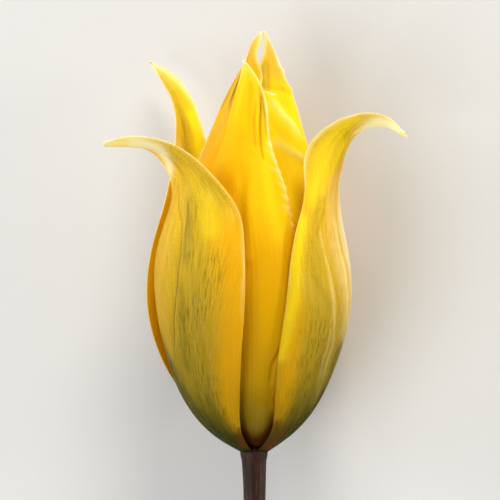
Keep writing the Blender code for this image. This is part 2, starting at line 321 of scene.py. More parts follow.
washColours = {  # painted in this order, each over the ones before
    "amberShade": "#fabc00", "lemonAndHighlight": "#ffee1e", "khakiAndShade": "#bda42c", "shade": "#8c7c1a", "tan": "#e4ba50",
    "oliveAndShade": "#213400", "creamAndHighlight": "#fff6b0", "white": "#fdffe6", "wine": "#7c3c08", "veinAndShadowLine": "#5c521c",
    "dash": "#63580f", "foot": "#261a0c",
}
brokenWashes = ("khakiAndShade", "shade", "oliveAndShade", "tan", "creamAndHighlight")  # these run out in streaks


def addPiece(name, mesh, materials, node):
    for material in materials:
        mesh.materials.append(material)
    mesh.shade_smooth()
    piece = bpy.data.objects.new(name, mesh)
    bpy.context.scene.collection.objects.link(piece)
    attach(piece, "root")
    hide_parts(node)
    return piece


def makePetal(name, petal):
    points, place = petalSheet(petal)
    points = points + outwardNormals(points) * petalRelief(petal, place)[..., None]
    rows, columns = petalMesh["rows"], petal["columns"]
    shape = bmesh.new()
    bmesh.ops.create_grid(shape, x_segments=columns, y_segments=rows, size=1.0)
    mesh = bpy.data.meshes.new(name)
    shape.to_mesh(mesh)
    shape.free()
    flat = np.zeros(len(mesh.vertices) * 3)
    mesh.vertices.foreach_get("co", flat)
    column = np.rint((flat[0::3] + 1) / 2 * columns).astype(int)
    row = np.rint((flat[1::3] + 1) / 2 * rows).astype(int)
    mesh.vertices.foreach_set("co", layDown(points[row, column]).ravel())
    layers = {
        "alongShare": place["along"],
        "alongMm": place["y"],
        "veinAndShadowLineMm": place["across"] * place["halfWidth"].max() * (1 - 0.5 * ease(place["along"], 0.1, 0.7)),
        "edgeMm": place["edge"],
    }
    for side, suffix in (("outsideWashes", "Outside"), ("insideWashes", "Inside")):
        for wash in washColours:
            bare = np.ones(place["x"].shape)
            # the crimps' pleats are painted as well: a painted highlight along each pleat
            pleats = [pleat for crimp in petal.get("crimps", []) for pleat in crimps(crimp) if wash == crimp["wash"]]
            for stroke in petal[side].get(wash, []) + pleats:
                bare = bare * (1 - strokeCover(place, stroke))
            # painted rim light: every margin is lightened along its edge, fading in from a third to three fifths of the
            # way up
            if wash == petalMesh["marginWash"]:
                rim = np.exp(-(place["edge"] / petalMesh["marginWidth"]) ** 2) * ease(place["along"], 0.3, 0.6)
                bare = bare * (1 - rim * np.where(place["across"] < 0, *petal["margins"]))
            layers[wash + suffix] = 1 - bare
    for layer, values in layers.items():
        attribute = mesh.attributes.new(layer, "FLOAT", "POINT")
        attribute.data.foreach_set("value", values[row, column].astype(np.float32))
    piece = addPiece(name, mesh, [petalSkins[petal["outside"]], petalSkins[petal["inside"]]], petal["node"])
    thickness = petalWall(petal, place)
    group = piece.vertex_groups.new(name="wall")
    shares = thickness / thickness.max()
    for index, share in enumerate(shares[row, column]):
        group.add([index], float(share), "REPLACE")
    wall = piece.modifiers.new("wall", "SOLIDIFY")
    wall.thickness = thickness.max() * mm
    wall.offset = -1.0
    wall.vertex_group = "wall"
    wall.thickness_vertex_group = 0.0
    wall.use_rim = True
    wall.material_offset = 1
    print(name, "is", round(place["length"], 1), "mm long and", round(2 * place["halfWidth"].max(), 1), "mm wide")
    return piece


# Petal skin: cells full of yellow pigment under a waxy cuticle. To the eye it is satin, veined
# along its length, and thin enough for light to glow through it.
# Each ground runs from base to tip. Its dark lower stops are partly the petal's own olive and brown and partly painted
# shade at the foot. On the inner petals' outside, the darker stops between a fifth and a half of the way up are painted
# shade under their neighbours. The palest stop at the very end is the whitish tip.
petalPaint = {
    "outerOutside": {
        "ground": ((0.0, "#1a0e06"), (0.05, "#302c06"), (0.14, "#7c6c04"), (0.3, "#c8a40e"), (0.45, "#deb818"),
                   (0.6, "#f0ca1e"), (0.82, "#f8d838"), (0.96, "#fde888"), (0.985, "#fffbe8")),
        "masks": "Outside",
        "streak": 0.3,
    },
    "outerInside": {
        "ground": ((0.0, "#4a3e0a"), (0.06, "#9a8810"), (0.2, "#e0b800"), (0.6, "#f8d000"),
                   (0.9, "#fad41a"), (0.975, "#fbe070"), (0.99, "#fffbe8")),
        "masks": "Inside",
        "streak": 0.14,
    },
    "innerOutside": {
        "ground": ((0.0, "#1c0c04"), (0.03, "#2c1606"), (0.055, "#6a4208"), (0.09, "#8c6c04"), (0.2, "#cea200"),
                   (0.32, "#e6b400"), (0.5, "#ecb600"), (0.62, "#facc00"), (0.85, "#fed200"), (0.95, "#fed41c"),
                   (0.985, "#fde070"), (0.997, "#fffbe8")),
        "masks": "Outside",
        "streak": 0.04,
    },
    "innerInside": {
        "ground": ((0.0, "#3a2e08"), (0.06, "#8a7c10"), (0.2, "#dcae00"), (0.6, "#f6c400"), (1.0, "#fbe080")),
        "masks": "Inside",
        "streak": 0.08,
    },
}
petalSurface = {
    "streakWide": 0.34, "streakLong": 11.0,  # mm, the pale and dull streaks between veins
    "hairWide": 0.13, "hairLong": 5.0,  # mm, the finest veins
    "mottle": 1.3,  # mm, soft patches
    "dashWide": 0.16, "dashLong": 2.6,  # mm, the short dark dashes, drawn coarser than the real ones to show
    "grain": 0.22,  # mm, cells, drawn five times too coarse so that they show
    "veinAndShadowLineRelief": 0.05, "hairRelief": 0.015, "grainRelief": 0.012,  # mm
    "roughness": 0.5, "ior": 1.42, "shine": 0.09, "passes": 0.42,  # passes is the share of light that goes through
}


def petalSkin(name, paint):
    material, tree = newMaterial("petal skin " + name)
    read = {}
    for layer in ("alongShare", "alongMm", "veinAndShadowLineMm", *(wash + paint["masks"] for wash in washColours)):
        read[layer] = addNode(tree, "ShaderNodeAttribute", attribute_name=layer).outputs["Fac"]

    def calculate(operation, first, second):
        return addNode(tree, "ShaderNodeMath", {0: first, 1: second}, operation=operation).outputs[0]

    def streaky(wide, long, detail):  # noise drawn out along the petal
        place = addNode(tree, "ShaderNodeCombineXYZ", {
            "X": calculate("DIVIDE", read["veinAndShadowLineMm"], wide),
            "Y": calculate("DIVIDE", read["alongMm"], long),
        })
        links = {"Vector": place.outputs[0], "Scale": 1.0, "Detail": detail, "Roughness": 0.6}
        return addNode(tree, "ShaderNodeTexNoise", links).outputs["Fac"]

    def stretch(value, low, high, toLow=0.0, toHigh=1.0):
        links = {"Value": value, "From Min": low, "From Max": high, "To Min": toLow, "To Max": toHigh}
        return addNode(tree, "ShaderNodeMapRange", links).outputs[0]

    def tint(under, over, share):  # sockets 6 and 7 of a colour mix are its two colours
        return addNode(tree, "ShaderNodeMix", {0: share, 6: under, 7: over}, data_type="RGBA").outputs[2]

    cells = addNode(tree, "ShaderNodeTexNoise", {
        "Vector": addNode(tree, "ShaderNodeTexCoord").outputs["Object"],
        "Scale": 1 / (petalSurface["grain"] * mm),
        "Detail": 1.0,
    })
    streaks = streaky(petalSurface["streakWide"], petalSurface["streakLong"], 3.0)
    dashes = streaky(petalSurface["dashWide"], petalSurface["dashLong"], 2.0)
    hairs = streaky(petalSurface["hairWide"], petalSurface["hairLong"], 2.0)
    mottles = streaky(petalSurface["mottle"], petalSurface["mottle"] * 2, 3.0)
    ramp = addNode(tree, "ShaderNodeValToRGB", {"Fac": read["alongShare"]})
    stops = ramp.color_ramp.elements
    for share, colour in paint["ground"][1:-1]:
        stops.new(share).color = linear(colour)
    stops[0].color = linear(paint["ground"][0][1])
    stops[-1].position, stops[-1].color = paint["ground"][-1][0], linear(paint["ground"][-1][1])
    colour = ramp.outputs["Color"]
    colour = tint(colour, linear(washColours["khakiAndShade"]), stretch(streaks, 0.4, 0.66, 0.0, paint["streak"]))
    colour = tint(colour, linear(washColours["shade"]), stretch(hairs, 0.5, 0.66, 0.0, paint["streak"]))
    colour = tint(colour, linear(washColours["creamAndHighlight"]), stretch(hairs, 0.48, 0.34, 0.0, paint["streak"] * 0.4))
    speckle = stretch(cells.outputs["Fac"], 0.45, 0.75, 0.0, paint["streak"])
    colour = tint(colour, linear(washColours["shade"]), speckle)
    uneven = calculate("ADD", calculate("MULTIPLY", mottles, 0.6), calculate("MULTIPLY", streaks, 0.6))
    broken = stretch(uneven, 0.42, 0.72, 0.4, 1.0)
    # The washes go over all this; among them are painted shade, painted highlights and painted rim light.
    for wash, tone in washColours.items():
        share = read[wash + paint["masks"]]
        if wash in brokenWashes:
            share = calculate("MULTIPLY", share, broken)
        if wash == "dash":
            share = calculate("MULTIPLY", share, stretch(dashes, 0.5, 0.62, 0.0, 0.75))
        colour = tint(colour, linear(tone), share)

    veined = addNode(tree, "ShaderNodeBump", {
        "Height": streaks, "Distance": petalSurface["veinAndShadowLineRelief"] * mm, "Strength": 1.0,
    })
    veined = addNode(tree, "ShaderNodeBump", {
        "Height": hairs, "Distance": petalSurface["hairRelief"] * mm, "Normal": veined.outputs[0],
    })
    grained = addNode(tree, "ShaderNodeBump", {
        "Height": cells.outputs["Fac"], "Distance": petalSurface["grainRelief"] * mm, "Normal": veined.outputs[0],
    })
    skin = addNode(tree, "ShaderNodeBsdfPrincipled", {
        "Base Color": colour,
        "Roughness": petalSurface["roughness"],
        "IOR": petalSurface["ior"],
        "Specular IOR Level": petalSurface["shine"],
        "Normal": grained.outputs[0],
    })
    glow = addNode(tree, "ShaderNodeBsdfTranslucent", {"Color": colour, "Normal": grained.outputs[0]})
    both = addNode(tree, "ShaderNodeMixShader", {0: petalSurface["passes"], 1: skin.outputs[0], 2: glow.outputs[0]})
    addNode(tree, "ShaderNodeOutputMaterial", {"Surface": both.outputs[0]})
    return material


petalSkins = {name: petalSkin(name, paint) for name, paint in petalPaint.items()}

outerFrontLeft = {
    "node": "outer_tepal_front_left", "slot": "outer_tepal", "outside": "outerOutside", "inside": "outerInside",
    "left": [
        (-92, 1.97, 0.1), (-92, 5.9, 2.5), (-88, 10.0, 7.4), (-84, 12.6, 14.0), (-83, 14.2, 22.0), (-80, 13.8, 30.0),
        (-77, 12.1, 36.0), (-74, 12.6, 39.4), (-66, 15.8, 42.6), (-62, 20.6, 43.4), (-60.6, 24.4, 43.4),
    ],
    "midrib": [
        (-50, 1.97, 0.0), (-49, 5.9, 2.2), (-47, 10.1, 6.6), (-45, 13.1, 13.6), (-44, 15.1, 21.6), (-45, 14.6, 29.8),
        (-50, 12.8, 36.0), (-54, 13.0, 40.0), (-58, 16.2, 42.9), (-60, 21.0, 43.9), (-60, 24.5, 43.6),
    ],
    "right": [
        (-8, 1.97, 0.1), (-18, 5.4, 2.6), (-12, 9.7, 7.6), (-8, 12.7, 14.4), (-5.2, 14.3, 22.0), (-6, 13.6, 30.8),
        (-18, 12.1, 37.0), (-40, 12.9, 41.8), (-51.5, 16.4, 44.3), (-57.5, 21.2, 44.8), (-59.4, 24.5, 43.95),
    ],
    "columns": 112,
    "seed": 11,
    "wall": {"body": 0.36, "margin": 0.14, "tip": 0.26},
    "margins": (0.4, 0.4),  # how strong the painted rim light is on the left and the right margin
    "ribs": ((3.0, 45.0, 0.06), (1.1, 30.0, 0.03)),
    "waviness": 0.05,
    "ruffles": [],
    "folds": [
        {"path": [(0.77, -0.5), (0.69, -0.27), (0.65, -0.06), (0.57, 0.0), (0.49, -0.06), (0.42, -0.2), (0.35, -0.35)],
         "width": (0.5, 0.5), "height": -0.2},
        {"path": [(0.62, -0.6), (0.5, -0.6), (0.4, -0.7)], "width": (2.2, 2.0), "height": 0.25},
        {"path": [(0.72, 0.25), (0.6, 0.22), (0.5, 0.2)], "width": (1.0, 2.0), "height": 0.16},
    ],
    # Painted light here. The khaki, shade and amber strokes over the belly and the right third are partly painted
    # shade. The olive at the foot is partly painted shade. The white stroke and the first cream stroke are painted
    # highlights on the curl. The cream lines along the margins are painted rim light.
    "outsideWashes": {
        "amberShade": [
            {"path": [(0.62, 0.8), (0.5, 0.85), (0.4, 0.9), (0.28, 0.8), (0.16, 0.8), (0.1, 0.9)], "width": (2.4, 2.8, 1.0), "strength": (0.6, 0.8, 0.8)},
        ],
        "lemonAndHighlight": [
            {"path": [(0.76, 0.45), (0.7, 0.55), (0.62, 0.55)], "width": (1.2, 1.4), "strength": (0.3, 0.5)},
        ],
        "khakiAndShade": [
            {"path": [(0.81, 0.0), (0.76, 0.2), (0.7, 0.25), (0.6, 0.2)], "width": (1.1, 1.7), "strength": (0.25, 0.65)},
            {"path": [(0.56, 0.2), (0.5, 0.3), (0.42, 0.25), (0.34, 0.1), (0.26, 0.0)], "width": (3.4, 4.0), "strength": (0.6, 0.8, 0.6)},
            {"path": [(0.77, 0.7), (0.73, 0.78), (0.68, 0.84)], "width": (0.7, 0.6), "strength": (0.4, 0.5)},
        ],
        "shade": [
            {"path": [(0.71, 0.08), (0.68, 0.12), (0.645, 0.13), (0.6, 0.1), (0.55, 0.1)], "width": (0.5, 0.8), "strength": (0.3, 0.8, 0.7, 0.4, 0.3)},
            {"path": [(0.7, 0.36), (0.66, 0.3), (0.63, 0.26)], "width": (0.2, 0.2), "strength": (0.2, 0.6, 0.2)},
            {"path": [(0.5, 0.02), (0.44, 0.04), (0.38, -0.02), (0.3, -0.12)], "width": (0.8, 1.4), "strength": (0.4, 0.7, 0.7)},
            {"path": [(0.3, -0.1), (0.2, 0.1), (0.12, 0.3)], "width": (2.6, 1.6), "strength": (0.5, 0.7)},
            {"path": [(0.74, 0.9), (0.7, 0.93), (0.66, 0.95)], "width": (0.2, 0.2), "strength": (0.2, 0.5, 0.2)},
        ],
        "tan": [
            {"path": [(0.72, -0.6), (0.62, -0.5), (0.5, -0.5), (0.42, -0.55)], "width": (1.0, 2.2), "strength": (0.5, 0.5)},
        ],
        "oliveAndShade": [
            {"path": [(0.0, 0.0), (0.06, 0.2), (0.12, -0.15), (0.18, -0.4), (0.26, -0.68), (0.33, -1.0)], "width": (3.2, 3.0, 1.8), "strength": (1.0, 1.0, 0.7)},
            {"path": [(0.04, -0.8), (0.16, -0.9), (0.26, -1.0)], "width": (3.0, 2.6), "strength": (1.0, 0.9)},
        ],
        "creamAndHighlight": [
            {"path": [(0.77, -0.95), (0.81, -0.5), (0.86, 0.1), (0.92, 0.2), (0.97, 0.3)], "width": (0.5, 1.3), "strength": (0.7, 1.0)},
            {"path": [(0.62, 0.99), (0.52, 0.99), (0.38, 0.99)], "width": (0.12, 0.12), "strength": (0.0, 0.5, 0.0)},
            {"path": [(0.96, -0.9), (0.88, -0.95), (0.8, -0.98)], "width": (0.3, 0.3)},
            {"path": [(0.96, 0.9), (0.88, 0.98), (0.8, 0.98), (0.74, 0.99)], "width": (0.3, 0.2), "strength": (1.0, 0.4)},
        ],
        "white": [
            {"path": [(0.79, -0.7), (0.82, -0.2), (0.85, 0.2), (0.88, 0.2), (0.91, 0.1)], "width": (0.7, 1.3), "strength": (0.6, 1.0, 0.9)},
        ],
        "wine": [{"path": [(0.03, 0.7), (0.06, 0.85), (0.1, 0.95)], "width": (0.6, 0.4), "strength": (0.8, 0.7)}],
        "veinAndShadowLine": [
            {"path": [(0.77, -0.5), (0.69, -0.27), (0.65, -0.06), (0.57, 0.0), (0.49, -0.06), (0.42, -0.2), (0.3, -0.48)],
             "width": (0.1, 0.12), "strength": (0.0, 0.6, 0.6, 0.9, 0.5)},
            {"path": [(0.49, -0.92), (0.415, -0.8), (0.357, -0.88)], "width": (0.1, 0.12), "strength": (0.2, 0.8, 0.4)},
        ],
        "foot": [{"path": [(0.0, -0.9), (0.0, 0.9)], "width": (0.6, 0.6)}],
        "dash": [
            {"path": [(0.06, 0.5), (0.14, 0.5), (0.24, 0.2), (0.34, 0.0)], "width": (2.4, 4.0), "strength": (1.0, 0.8)},
            {"path": [(0.4, 0.1), (0.46, 0.5), (0.54, 0.6)], "width": (2.4, 1.4), "strength": (0.9, 0.8)},
            {"path": [(0.56, 0.2), (0.7, 0.25), (0.74, 0.7)], "width": (1.6, 1.0), "strength": (0.5, 0.5)},
        ],
    },
    "insideWashes": {
        # painted highlight: the inside of the curl lightened
        "creamAndHighlight": [{"path": [(0.8, 0.0), (0.88, 0.0), (0.97, 0.0)], "width": (2.0, 2.0), "strength": (0.5, 1.0)}],
    },
}
makePetal("outerPetalFrontLeft", outerFrontLeft)

outerFrontRight = {
    "node": "outer_tepal_front_right", "slot": "outer_tepal", "outside": "outerOutside", "inside": "outerInside",
    "left": [
        (12, 1.97, 0.1), (26, 5.1, 2.6), (18, 9.5, 7.6), (16.2, 12.5, 14.4), (19, 14.0, 22.0), (25.5, 13.4, 31.0),
        (37.5, 11.8, 37.8), (42.5, 11.1, 43.3), (53, 15.7, 47.5), (59, 21.2, 47.8), (60.8, 24.2, 45.1),
    ],
    "midrib": [
        (60, 1.97, 0.0), (58, 5.4, 2.2), (55, 9.5, 6.6), (53, 12.7, 13.6), (52.5, 14.5, 21.6), (50, 13.3, 30.2),
        (56, 12.2, 36.8), (60, 13.1, 42.2), (62, 16.0, 46.4), (61.5, 20.6, 47.3), (61.5, 24.3, 44.7),
    ],
    "right": [
        (108, 1.97, 0.1), (98, 5.1, 2.6), (94, 9.1, 7.4), (96, 12.2, 14.0), (98, 14.1, 22.0), (94, 13.3, 30.0),
        (86, 12.3, 36.2), (80, 12.9, 41.2), (70, 15.6, 45.3), (64, 20.6, 46.2), (62.5, 24.2, 44.5),
    ],
    "columns": 112,
    "seed": 23,
    "wall": {"body": 0.36, "margin": 0.14, "tip": 0.26},
    "margins": (0.4, 0.6),  # how strong the painted rim light is on the left and the right margin
    "ribs": ((2.6, 45.0, 0.08), (1.1, 30.0, 0.035)),
    "waviness": 0.05,
    "ruffles": [],
    "folds": [
        {"path": [(0.64, -0.1), (0.585, -0.18), (0.5, -0.1), (0.39, -0.03), (0.32, 0.1), (0.24, 0.07), (0.16, 0.1)],
         "width": (0.45, 0.6), "height": 0.15},
        {"path": [(0.62, -0.35), (0.55, -0.4), (0.45, -0.4)], "width": (1.1, 1.8), "height": -0.2},
        {"path": [(0.6, 0.5), (0.49, 0.5), (0.42, 0.5), (0.33, 0.45)], "width": (0.7, 0.8), "height": 0.2},
        {"path": [(0.56, 0.2), (0.45, 0.2), (0.36, 0.28)], "width": (0.8, 1.0), "height": -0.15},
        {"path": [(0.826, -0.9), (0.81, -0.4)], "width": (0.7, 0.7), "height": 0.15},
        {"path": [(0.862, -0.9), (0.85, -0.4)], "width": (0.7, 0.7), "height": 0.15},
    ],
    # Painted light here. The amber and lemon strokes along the left margin are partly painted shade and painted glow.
    # The khaki and shade strokes left of the keel are partly painted shade. Most cream strokes are painted highlights
    # on the keel, the fold ridges and the rims. The white strokes are painted rim light on the right margin and the
    # curl.
    "outsideWashes": {
        "amberShade": [
            {"path": [(0.72, -0.95), (0.66, -0.9), (0.6, -0.85)], "width": (1.4, 1.0), "strength": (0.7, 0.4)},
            {"path": [(0.42, -0.8), (0.3, -0.8), (0.18, -0.8), (0.12, -0.85)], "width": (1.6, 2.0, 1.0), "strength": (0.4, 0.7, 0.6)},
        ],
        "lemonAndHighlight": [
            {"path": [(0.6, -0.85), (0.5, -0.88), (0.38, -0.92), (0.28, -0.95)], "width": (1.2, 0.8), "strength": (0.7, 0.5)},
            {"path": [(0.86, -0.4), (0.78, -0.4), (0.72, -0.4), (0.66, -0.6)], "width": (1.2, 1.8), "strength": (0.8, 0.6)},
            {"path": [(0.8, 0.2), (0.74, 0.1), (0.68, -0.1)], "width": (1.0, 0.8), "strength": (0.7, 0.4)},
        ],
        "khakiAndShade": [
            {"path": [(0.66, -0.25), (0.6, -0.35), (0.5, -0.38), (0.42, -0.4), (0.3, -0.3)], "width": (0.7, 1.6, 3.2), "strength": (0.5, 0.8)},
            {"path": [(0.44, 0.2), (0.36, 0.3), (0.26, 0.25)], "width": (1.0, 2.0), "strength": (0.4, 0.8)},
        ],
        "shade": [
            {"path": [(0.68, 0.1), (0.64, -0.02), (0.58, -0.28)], "width": (0.3, 0.4), "strength": (0.2, 0.5, 0.2)},
            {"path": [(0.56, -0.5), (0.48, -0.5), (0.42, -0.2)], "width": (0.5, 0.8), "strength": (0.3, 0.3)},
            {"path": [(0.32, 0.0), (0.22, -0.1), (0.1, -0.2)], "width": (1.6, 3.0), "strength": (0.3, 0.8)},
            {"path": [(0.4, 0.3), (0.33, 0.32), (0.27, 0.35)], "width": (0.6, 1.0), "strength": (0.3, 0.8)},
        ],
        "tan": [
            {"path": [(0.76, 0.6), (0.7, 0.5), (0.62, 0.4), (0.54, 0.3), (0.46, 0.4), (0.38, 0.6)], "width": (0.8, 2.6), "strength": (0.7, 0.75)},
        ],
        "oliveAndShade": [
            {"path": [(0.0, -0.5), (0.06, -0.5), (0.1, -0.3)], "width": (1.6, 1.2), "strength": (1.0, 0.6)},
            {"path": [(0.0, 0.0), (0.06, 0.0), (0.12, 0.3), (0.18, 0.5), (0.25, 0.6), (0.33, 0.7)], "width": (3.0, 3.2, 1.8), "strength": (1.0, 1.0, 0.7)},
            {"path": [(0.3, 0.5), (0.36, 0.5), (0.43, 0.58)], "width": (1.2, 0.7), "strength": (0.5, 0.3)},
        ],
        "creamAndHighlight": [
            {"path": [(0.585, -0.2), (0.5, -0.1), (0.455, -0.1), (0.39, -0.03), (0.32, 0.1), (0.25, 0.07), (0.18, 0.1)], "width": (0.3, 0.5), "strength": (0.2, 0.6, 0.45, 0.4, 0.2, 0.1)},
            {"path": [(0.4, -0.12), (0.33, -0.02), (0.27, -0.05), (0.2, 0.0)], "width": (0.2, 0.2), "strength": (0.0, 0.4, 0.3, 0.0)},
            {"path": [(0.62, 0.5), (0.56, 0.5), (0.49, 0.52), (0.42, 0.52), (0.34, 0.5)], "width": (0.5, 0.8), "strength": (0.2, 0.8, 0.4)},
            {"path": [(0.72, 0.45), (0.62, 0.4), (0.5, 0.4), (0.42, 0.5), (0.36, 0.55)], "width": (1.2, 2.4), "strength": (0.2, 0.45, 0.3)},
            {"path": [(0.72, 0.8), (0.6, 0.8), (0.5, 0.8), (0.4, 0.8), (0.33, 0.75)], "width": (0.5, 1.2, 0.6), "strength": (0.5, 0.8, 0.5)},
            {"path": [(0.68, -1.0), (0.78, -0.98), (0.86, -0.95), (0.93, -0.8)], "width": (0.3, 0.5), "strength": (0.6, 0.9)},
            {"path": [(0.85, 0.6), (0.9, 0.5), (1.0, 0.0)], "width": (0.8, 2.0), "strength": (1.0, 1.0)},
        ],
        "white": [
            {"path": [(0.74, 0.96), (0.63, 0.96), (0.57, 0.98), (0.48, 0.98), (0.4, 0.9), (0.32, 0.86), (0.24, 0.8)], "width": (0.5, 1.1, 0.8), "strength": (0.7, 0.8, 0.7, 0.4, 0.0)},
            {"path": [(0.87, 0.9), (0.91, 0.5), (0.96, 0.3)], "width": (0.6, 1.1), "strength": (0.9, 1.0)},
        ],
        "wine": [
            {"path": [(0.0, -0.4), (0.06, -0.4), (0.1, -0.4)], "width": (1.6, 1.4), "strength": (0.4, 0.4, 0.3)},
            {"path": [(0.02, -0.55), (0.06, -0.75), (0.11, -0.9)], "width": (0.7, 0.5), "strength": (0.5, 0.5)},
        ],
        "veinAndShadowLine": [
            {"path": [(0.53, -0.05), (0.46, 0.02), (0.4, 0.05)], "width": (0.1, 0.1), "strength": (0.0, 0.5, 0.0)},
            {"path": [(0.6, -0.55), (0.54, -0.6), (0.47, -0.65)], "width": (0.1, 0.1), "strength": (0.0, 0.4, 0.0)},
        ],
        "foot": [{"path": [(0.0, -0.9), (0.0, 0.9)], "width": (0.6, 0.6)}],
        "dash": [
            {"path": [(0.06, -0.5), (0.14, -0.4), (0.24, -0.3), (0.34, -0.3)], "width": (2.4, 3.6), "strength": (1.0, 0.9)},
            {"path": [(0.3, 0.1), (0.4, 0.2), (0.5, 0.3), (0.6, 0.3)], "width": (1.6, 1.5), "strength": (0.5, 0.2)},
        ],
    },
    "insideWashes": {
        # painted highlight: the inside of the curl lightened
        "creamAndHighlight": [{"path": [(0.82, 0.0), (0.9, 0.0), (0.98, 0.0)], "width": (2.0, 2.0), "strength": (0.5, 1.0)}],
    },
}
makePetal("outerPetalFrontRight", outerFrontRight)

outerBack = {
    "node": "outer_tepal_back", "slot": "outer_tepal", "outside": "outerOutside", "inside": "outerInside",
    "left": [
        (-228, 1.97, 0.1), (-212, 5.2, 2.6), (-194, 9.8, 7.4), (-178, 13.1, 14.0), (-172, 15.1, 22.0),
        (-169, 14.3, 30.0), (-160, 12.6, 37.0), (-148, 12.4, 43.6), (-143, 14.5, 50.2), (-138, 17.2, 54.2),
        (-133.5, 20.6, 56.3),
    ],
    "midrib": [
        (-172, 1.97, 0.0), (-164, 5.7, 2.2), (-152, 10.1, 6.6), (-143, 13.6, 13.6), (-138, 15.6, 21.6),
        (-136, 15.2, 29.8), (-134, 13.4, 36.6), (-132, 12.8, 43.2), (-131, 15.0, 50.2), (-133, 18.1, 53.8),
        (-133, 20.7, 56.1),
    ],
    "right": [
        (-118, 1.97, 0.1), (-118, 5.2, 2.6), (-106, 9.8, 7.4), (-96, 13.6, 14.0), (-93, 15.4, 22.0),
        (-93, 14.5, 30.0), (-95, 12.75, 36.4), (-107, 12.0, 43.9), (-126, 14.6, 50.4), (-131, 17.9, 53.6),
        (-132.5, 20.6, 56.2),
    ],
    "columns": 116,
    "seed": 37,
    "wall": {"body": 0.36, "margin": 0.14, "tip": 0.26},
    "margins": (0.7, 0.7),  # how strong the painted rim light is on the left and the right margin
    "ribs": ((2.8, 45.0, 0.06), (1.1, 30.0, 0.03)),
    "waviness": 0.06,
    "ruffles": [],
    "folds": [
        {"path": [(0.9, 0.0), (0.84, 0.0), (0.78, 0.05), (0.7, 0.05)], "width": (0.4, 0.8), "height": 0.2},
    ],
    # Painted light here: the amber and lemon strokes on the right margin paint the glow of light through it, beside the
    # front left petal.
    "outsideWashes": {
        "amberShade": [{"path": [(0.7, 0.7), (0.5, 0.9), (0.4, 0.9), (0.2, 0.95)], "width": (2.4, 2.6, 1.6), "strength": (0.6, 0.9, 0.3)}],
        "lemonAndHighlight": [{"path": [(0.64, 0.9), (0.5, 0.95), (0.4, 0.92), (0.3, 0.95)], "width": (1.6, 1.6), "strength": (0.3, 0.7, 0.3)}],
        "khakiAndShade": [{"path": [(0.1, 0.0), (0.4, 0.0), (0.8, 0.0)], "width": (5.0, 3.0), "strength": (0.8, 0.6)}],
        "oliveAndShade": [{"path": [(0.02, 0.0), (0.2, 0.0)], "width": (4.0, 4.0), "strength": (1.0, 0.5)}],
        "tan": [{"path": [(0.62, 0.55), (0.56, 0.6)], "width": (1.0, 0.8), "strength": (0.8, 0.5)}],
        "veinAndShadowLine": [{"path": [(0.1, 0.0), (0.4, 0.0), (0.7, 0.0)], "width": (0.14, 0.12), "strength": (0.8, 0.5)}],
        "foot": [{"path": [(0.0, -0.9), (0.0, 0.9)], "width": (0.6, 0.6)}],
        "dash": [{"path": [(0.1, 0.0), (0.4, 0.0)], "width": (5.0, 6.0), "strength": (1.0, 0.5)}],
    },
    "insideWashes": {
        # Painted light inside. The lemon stroke is painted glow. The khaki and shade strokes are partly painted shade.
        # The cream strokes are painted rim light along both margins.
        "lemonAndHighlight": [{"path": [(0.84, -0.6), (0.77, -0.55), (0.7, -0.5)], "width": (1.0, 2.2), "strength": (0.9, 1.0)}],
        "khakiAndShade": [
            {"path": [(0.95, 0.1), (0.88, -0.05), (0.82, 0.05), (0.75, 0.2)], "width": (0.6, 1.5), "strength": (0.6, 0.9)},
        ],
        "shade": [{"path": [(0.86, 0.05), (0.82, 0.12), (0.79, 0.15)], "width": (0.2, 0.3), "strength": (0.1, 0.35, 0.1)}],
        "creamAndHighlight": [
            {"path": [(0.98, -0.98), (0.9, -0.98), (0.8, -0.99), (0.74, -0.99)], "width": (0.4, 0.3), "strength": (1.0, 0.9)},
            {"path": [(0.92, 0.98), (0.82, 0.98), (0.74, 0.98)], "width": (0.25, 0.35), "strength": (0.8, 0.9)},
            {"path": [(0.76, 0.75), (0.72, 0.6)], "width": (1.0, 1.0), "strength": (0.5, 0.5)},
        ],
    },
}
makePetal("outerPetalBack", outerBack)

